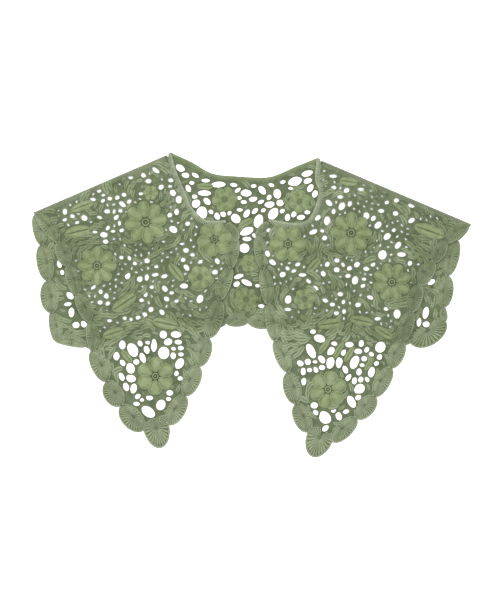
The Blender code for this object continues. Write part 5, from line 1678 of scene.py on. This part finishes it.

# %% [markdown]
# The cotton is a soft sage green, a little yellower on the motifs and greyer on the thin bars. The
# seams and the back's braid have darker cottons of their own.

# %% Five cottons
ground_cotton = cotton(
    "ground_cotton", (0.034, 0.047, 0.018, 1.0), (0.098, 0.122, 0.066, 1.0), (0.218, 0.245, 0.168, 1.0), 0.5
)
motif_cotton = cotton(
    "motif_cotton", (0.029, 0.045, 0.011, 1.0), (0.095, 0.124, 0.052, 1.0), (0.190, 0.225, 0.120, 1.0), 0.6
)
hem_cotton = cotton(
    "hem_cotton", (0.032, 0.046, 0.014, 1.0), (0.096, 0.123, 0.059, 1.0), (0.205, 0.236, 0.146, 1.0), 0.6
)
seam_cotton = cotton(
    "seam_cotton", (0.030, 0.041, 0.018, 1.0), (0.078, 0.096, 0.052, 1.0), (0.155, 0.178, 0.112, 1.0), 0.5
)
neck_cotton = cotton(
    "neck_cotton", (0.030, 0.042, 0.014, 1.0), (0.072, 0.092, 0.041, 1.0), (0.140, 0.168, 0.088, 1.0), 0.5
)
print("cottons:", [material.name for material in bpy.data.materials if "cotton" in material.name])

# %% [markdown]
# Now the pieces are worked, panel by panel. Each piece rides on the collar's one body. The back lies
# lower, and painted shade makes all its pieces a little deeper in tone.

# %% Work the three panels
def wear(work, material, slot, *nodes, level=1.0):
    """Finish a work as a piece of the collar."""
    thing = work.finish(material, level)
    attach(thing, "root")
    if nodes:
        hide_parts(*nodes)
    return thing


# The level column is painted shade over a whole panel: the back's pieces are darkened to 0.88.
Making = namedtuple("Making", "panel prefix node slot lift height level")
PANELS = [
    Making(back, "back", "back_panel", "lace_back", no_lift, 0.7, 0.88),
    Making(left, "front_left", "front_left", "lace_front", front_lift, 1.1, 1.0),
    Making(right, "front_right", "front_right", "lace_front", front_lift, 1.1, 1.0),
]
for panel, prefix, node, slot, lift, height, level in PANELS:
    ground, cloth = work_ground(panel, lift)
    lace = wear(ground, ground_cotton, slot, node, level=level)
    flowers = work_flowers(prefix + "_flowers", panel.flowers, lift, height)
    flowers = wear(flowers, motif_cotton, slot, level=level)
    leaves = work_leaves(prefix + "_leaves", panel.leaves, lift, height * 0.9)
    leaves = wear(leaves, motif_cotton, slot, level=level)
    hem = wear(work_hem(prefix + "_hem", panel, lift, height), hem_cotton, slot, level=level)
    sprigs = work_sprigs(prefix + "_sprigs", panel, lift, height, 5)
    sprigs = wear(sprigs, hem_cotton, slot, level=level)

# %% [markdown]
# The edges come last, because they cover the rims of the panels. The back's braid and the two
# seams have their own deeper cottons, and the fronts' braids are worked in that of the ground.

# %% Work the edges
wear(work_braid("back_neck_braid", back, 0.0), neck_cotton, "neck_braid", "neck_band_back")
wear(work_braid("left_neck_braid", left, LAP_LIFT), ground_cotton, "neck_braid", "neck_band_left")
wear(work_braid("right_neck_braid", right, LAP_LIFT), ground_cotton, "neck_braid", "neck_band_right")
left_seam = work_seam("left_shoulder_seam", BACK_ROWS[0][:2], BACK_ROWS[1][:2])
wear(left_seam, seam_cotton, "shoulder_seam", "shoulder_seam_left")
right_seam = work_seam("right_shoulder_seam", RIGHT_ROWS[0][:2], RIGHT_ROWS[-1][:2])
wear(right_seam, seam_cotton, "shoulder_seam", "shoulder_seam_right")
print("three braids and two seams worked")

# %% [markdown]
# The collar was photographed from straight above on white. A pale floor takes its soft shadow and
# shows through the gaps. It lies a little under the collar, so that the two share no face.

# %% Floor
FLOOR_HALF = 2.0
FLOOR_LEVEL = -0.0004


def plain_floor():
    """A large pale sheet just under the collar."""
    corners = [(-1, -1), (1, -1), (1, 1), (-1, 1)]
    points = [(x * FLOOR_HALF, y * FLOOR_HALF, FLOOR_LEVEL) for x, y in corners]
    mesh = bpy.data.meshes.new("floor")
    mesh.from_pydata(points, [], [(0, 1, 2, 3)])
    floor = bpy.data.objects.new("floor", mesh)
    bpy.context.scene.collection.objects.link(floor)
    material = bpy.data.materials.new("pale_floor")
    material.use_nodes = True
    shader = material.node_tree.nodes["Principled BSDF"]
    shader.inputs["Base Color"].default_value = (0.95, 0.95, 0.95, 1.0)
    shader.inputs["Roughness"].default_value = 0.9
    mesh.materials.append(material)
    return floor


plain_floor()
print("floor at", FLOOR_LEVEL / MILLIMETRE, "mm")

# %% [markdown]
# A wide lamp overhead keeps the gaps bright, as they are in the photo, and a weaker one from the
# side models the stitches. White light from all round fills the shadows.

# %% Lights
def soft_lamp(name, place, size, power):
    """A square lamp that points at the collar."""
    data = bpy.data.lights.new(name, "AREA")
    data.size = size
    data.energy = power
    lamp = bpy.data.objects.new(name, data)
    lamp.location = place
    lamp.rotation_euler = (-Vector(place)).to_track_quat("-Z", "Y").to_euler()
    bpy.context.scene.collection.objects.link(lamp)
    return lamp


soft_lamp("overhead_lamp", (0.1, 0.2, 1.9), 1.6, 62.0)
soft_lamp("side_lamp", (-0.9, 0.9, 0.8), 0.6, 16.0)
world = bpy.data.worlds.new("studio")
world.use_nodes = True
world.node_tree.nodes["Background"].inputs["Color"].default_value = (1.0, 1.0, 1.0, 1.0)
world.node_tree.nodes["Background"].inputs["Strength"].default_value = 0.5
bpy.context.scene.world = world
bpy.context.scene.view_settings.view_transform = "Standard"

# %% [markdown]
# The photo has next to no perspective, so a long lens looks straight down from far above. One
# pixel of the photo is 1.05 mm of the table: that sets how far up the camera is. The collar lies a
# little below the photo's middle and is turned in it by a small roll.

# %% Camera
PHOTO_HEIGHT = 600
MM_PER_PIXEL = 1.05
PHOTO_MIDDLE_ROW = 305.0
ROLL = math.radians(1.6)
LENS = 85.0
SENSOR = 36.0
frame_height = PHOTO_HEIGHT * MM_PER_PIXEL * MILLIMETRE
distance = frame_height * LENS / SENSOR
camera_data = bpy.data.cameras.new("camera")
camera_data.lens = LENS
camera_data.sensor_width = SENSOR
camera_data.sensor_height = SENSOR
camera = bpy.data.objects.new("camera", camera_data)
rise = (PHOTO_MIDDLE_ROW - PHOTO_HEIGHT / 2) * MM_PER_PIXEL * MILLIMETRE
camera.location = (SHIFT[0] * MILLIMETRE, rise, distance)
camera.rotation_euler = (0.0, 0.0, ROLL)
bpy.context.scene.collection.objects.link(camera)
bpy.context.scene.camera = camera
print("camera at", [round(c, 3) for c in camera.location])
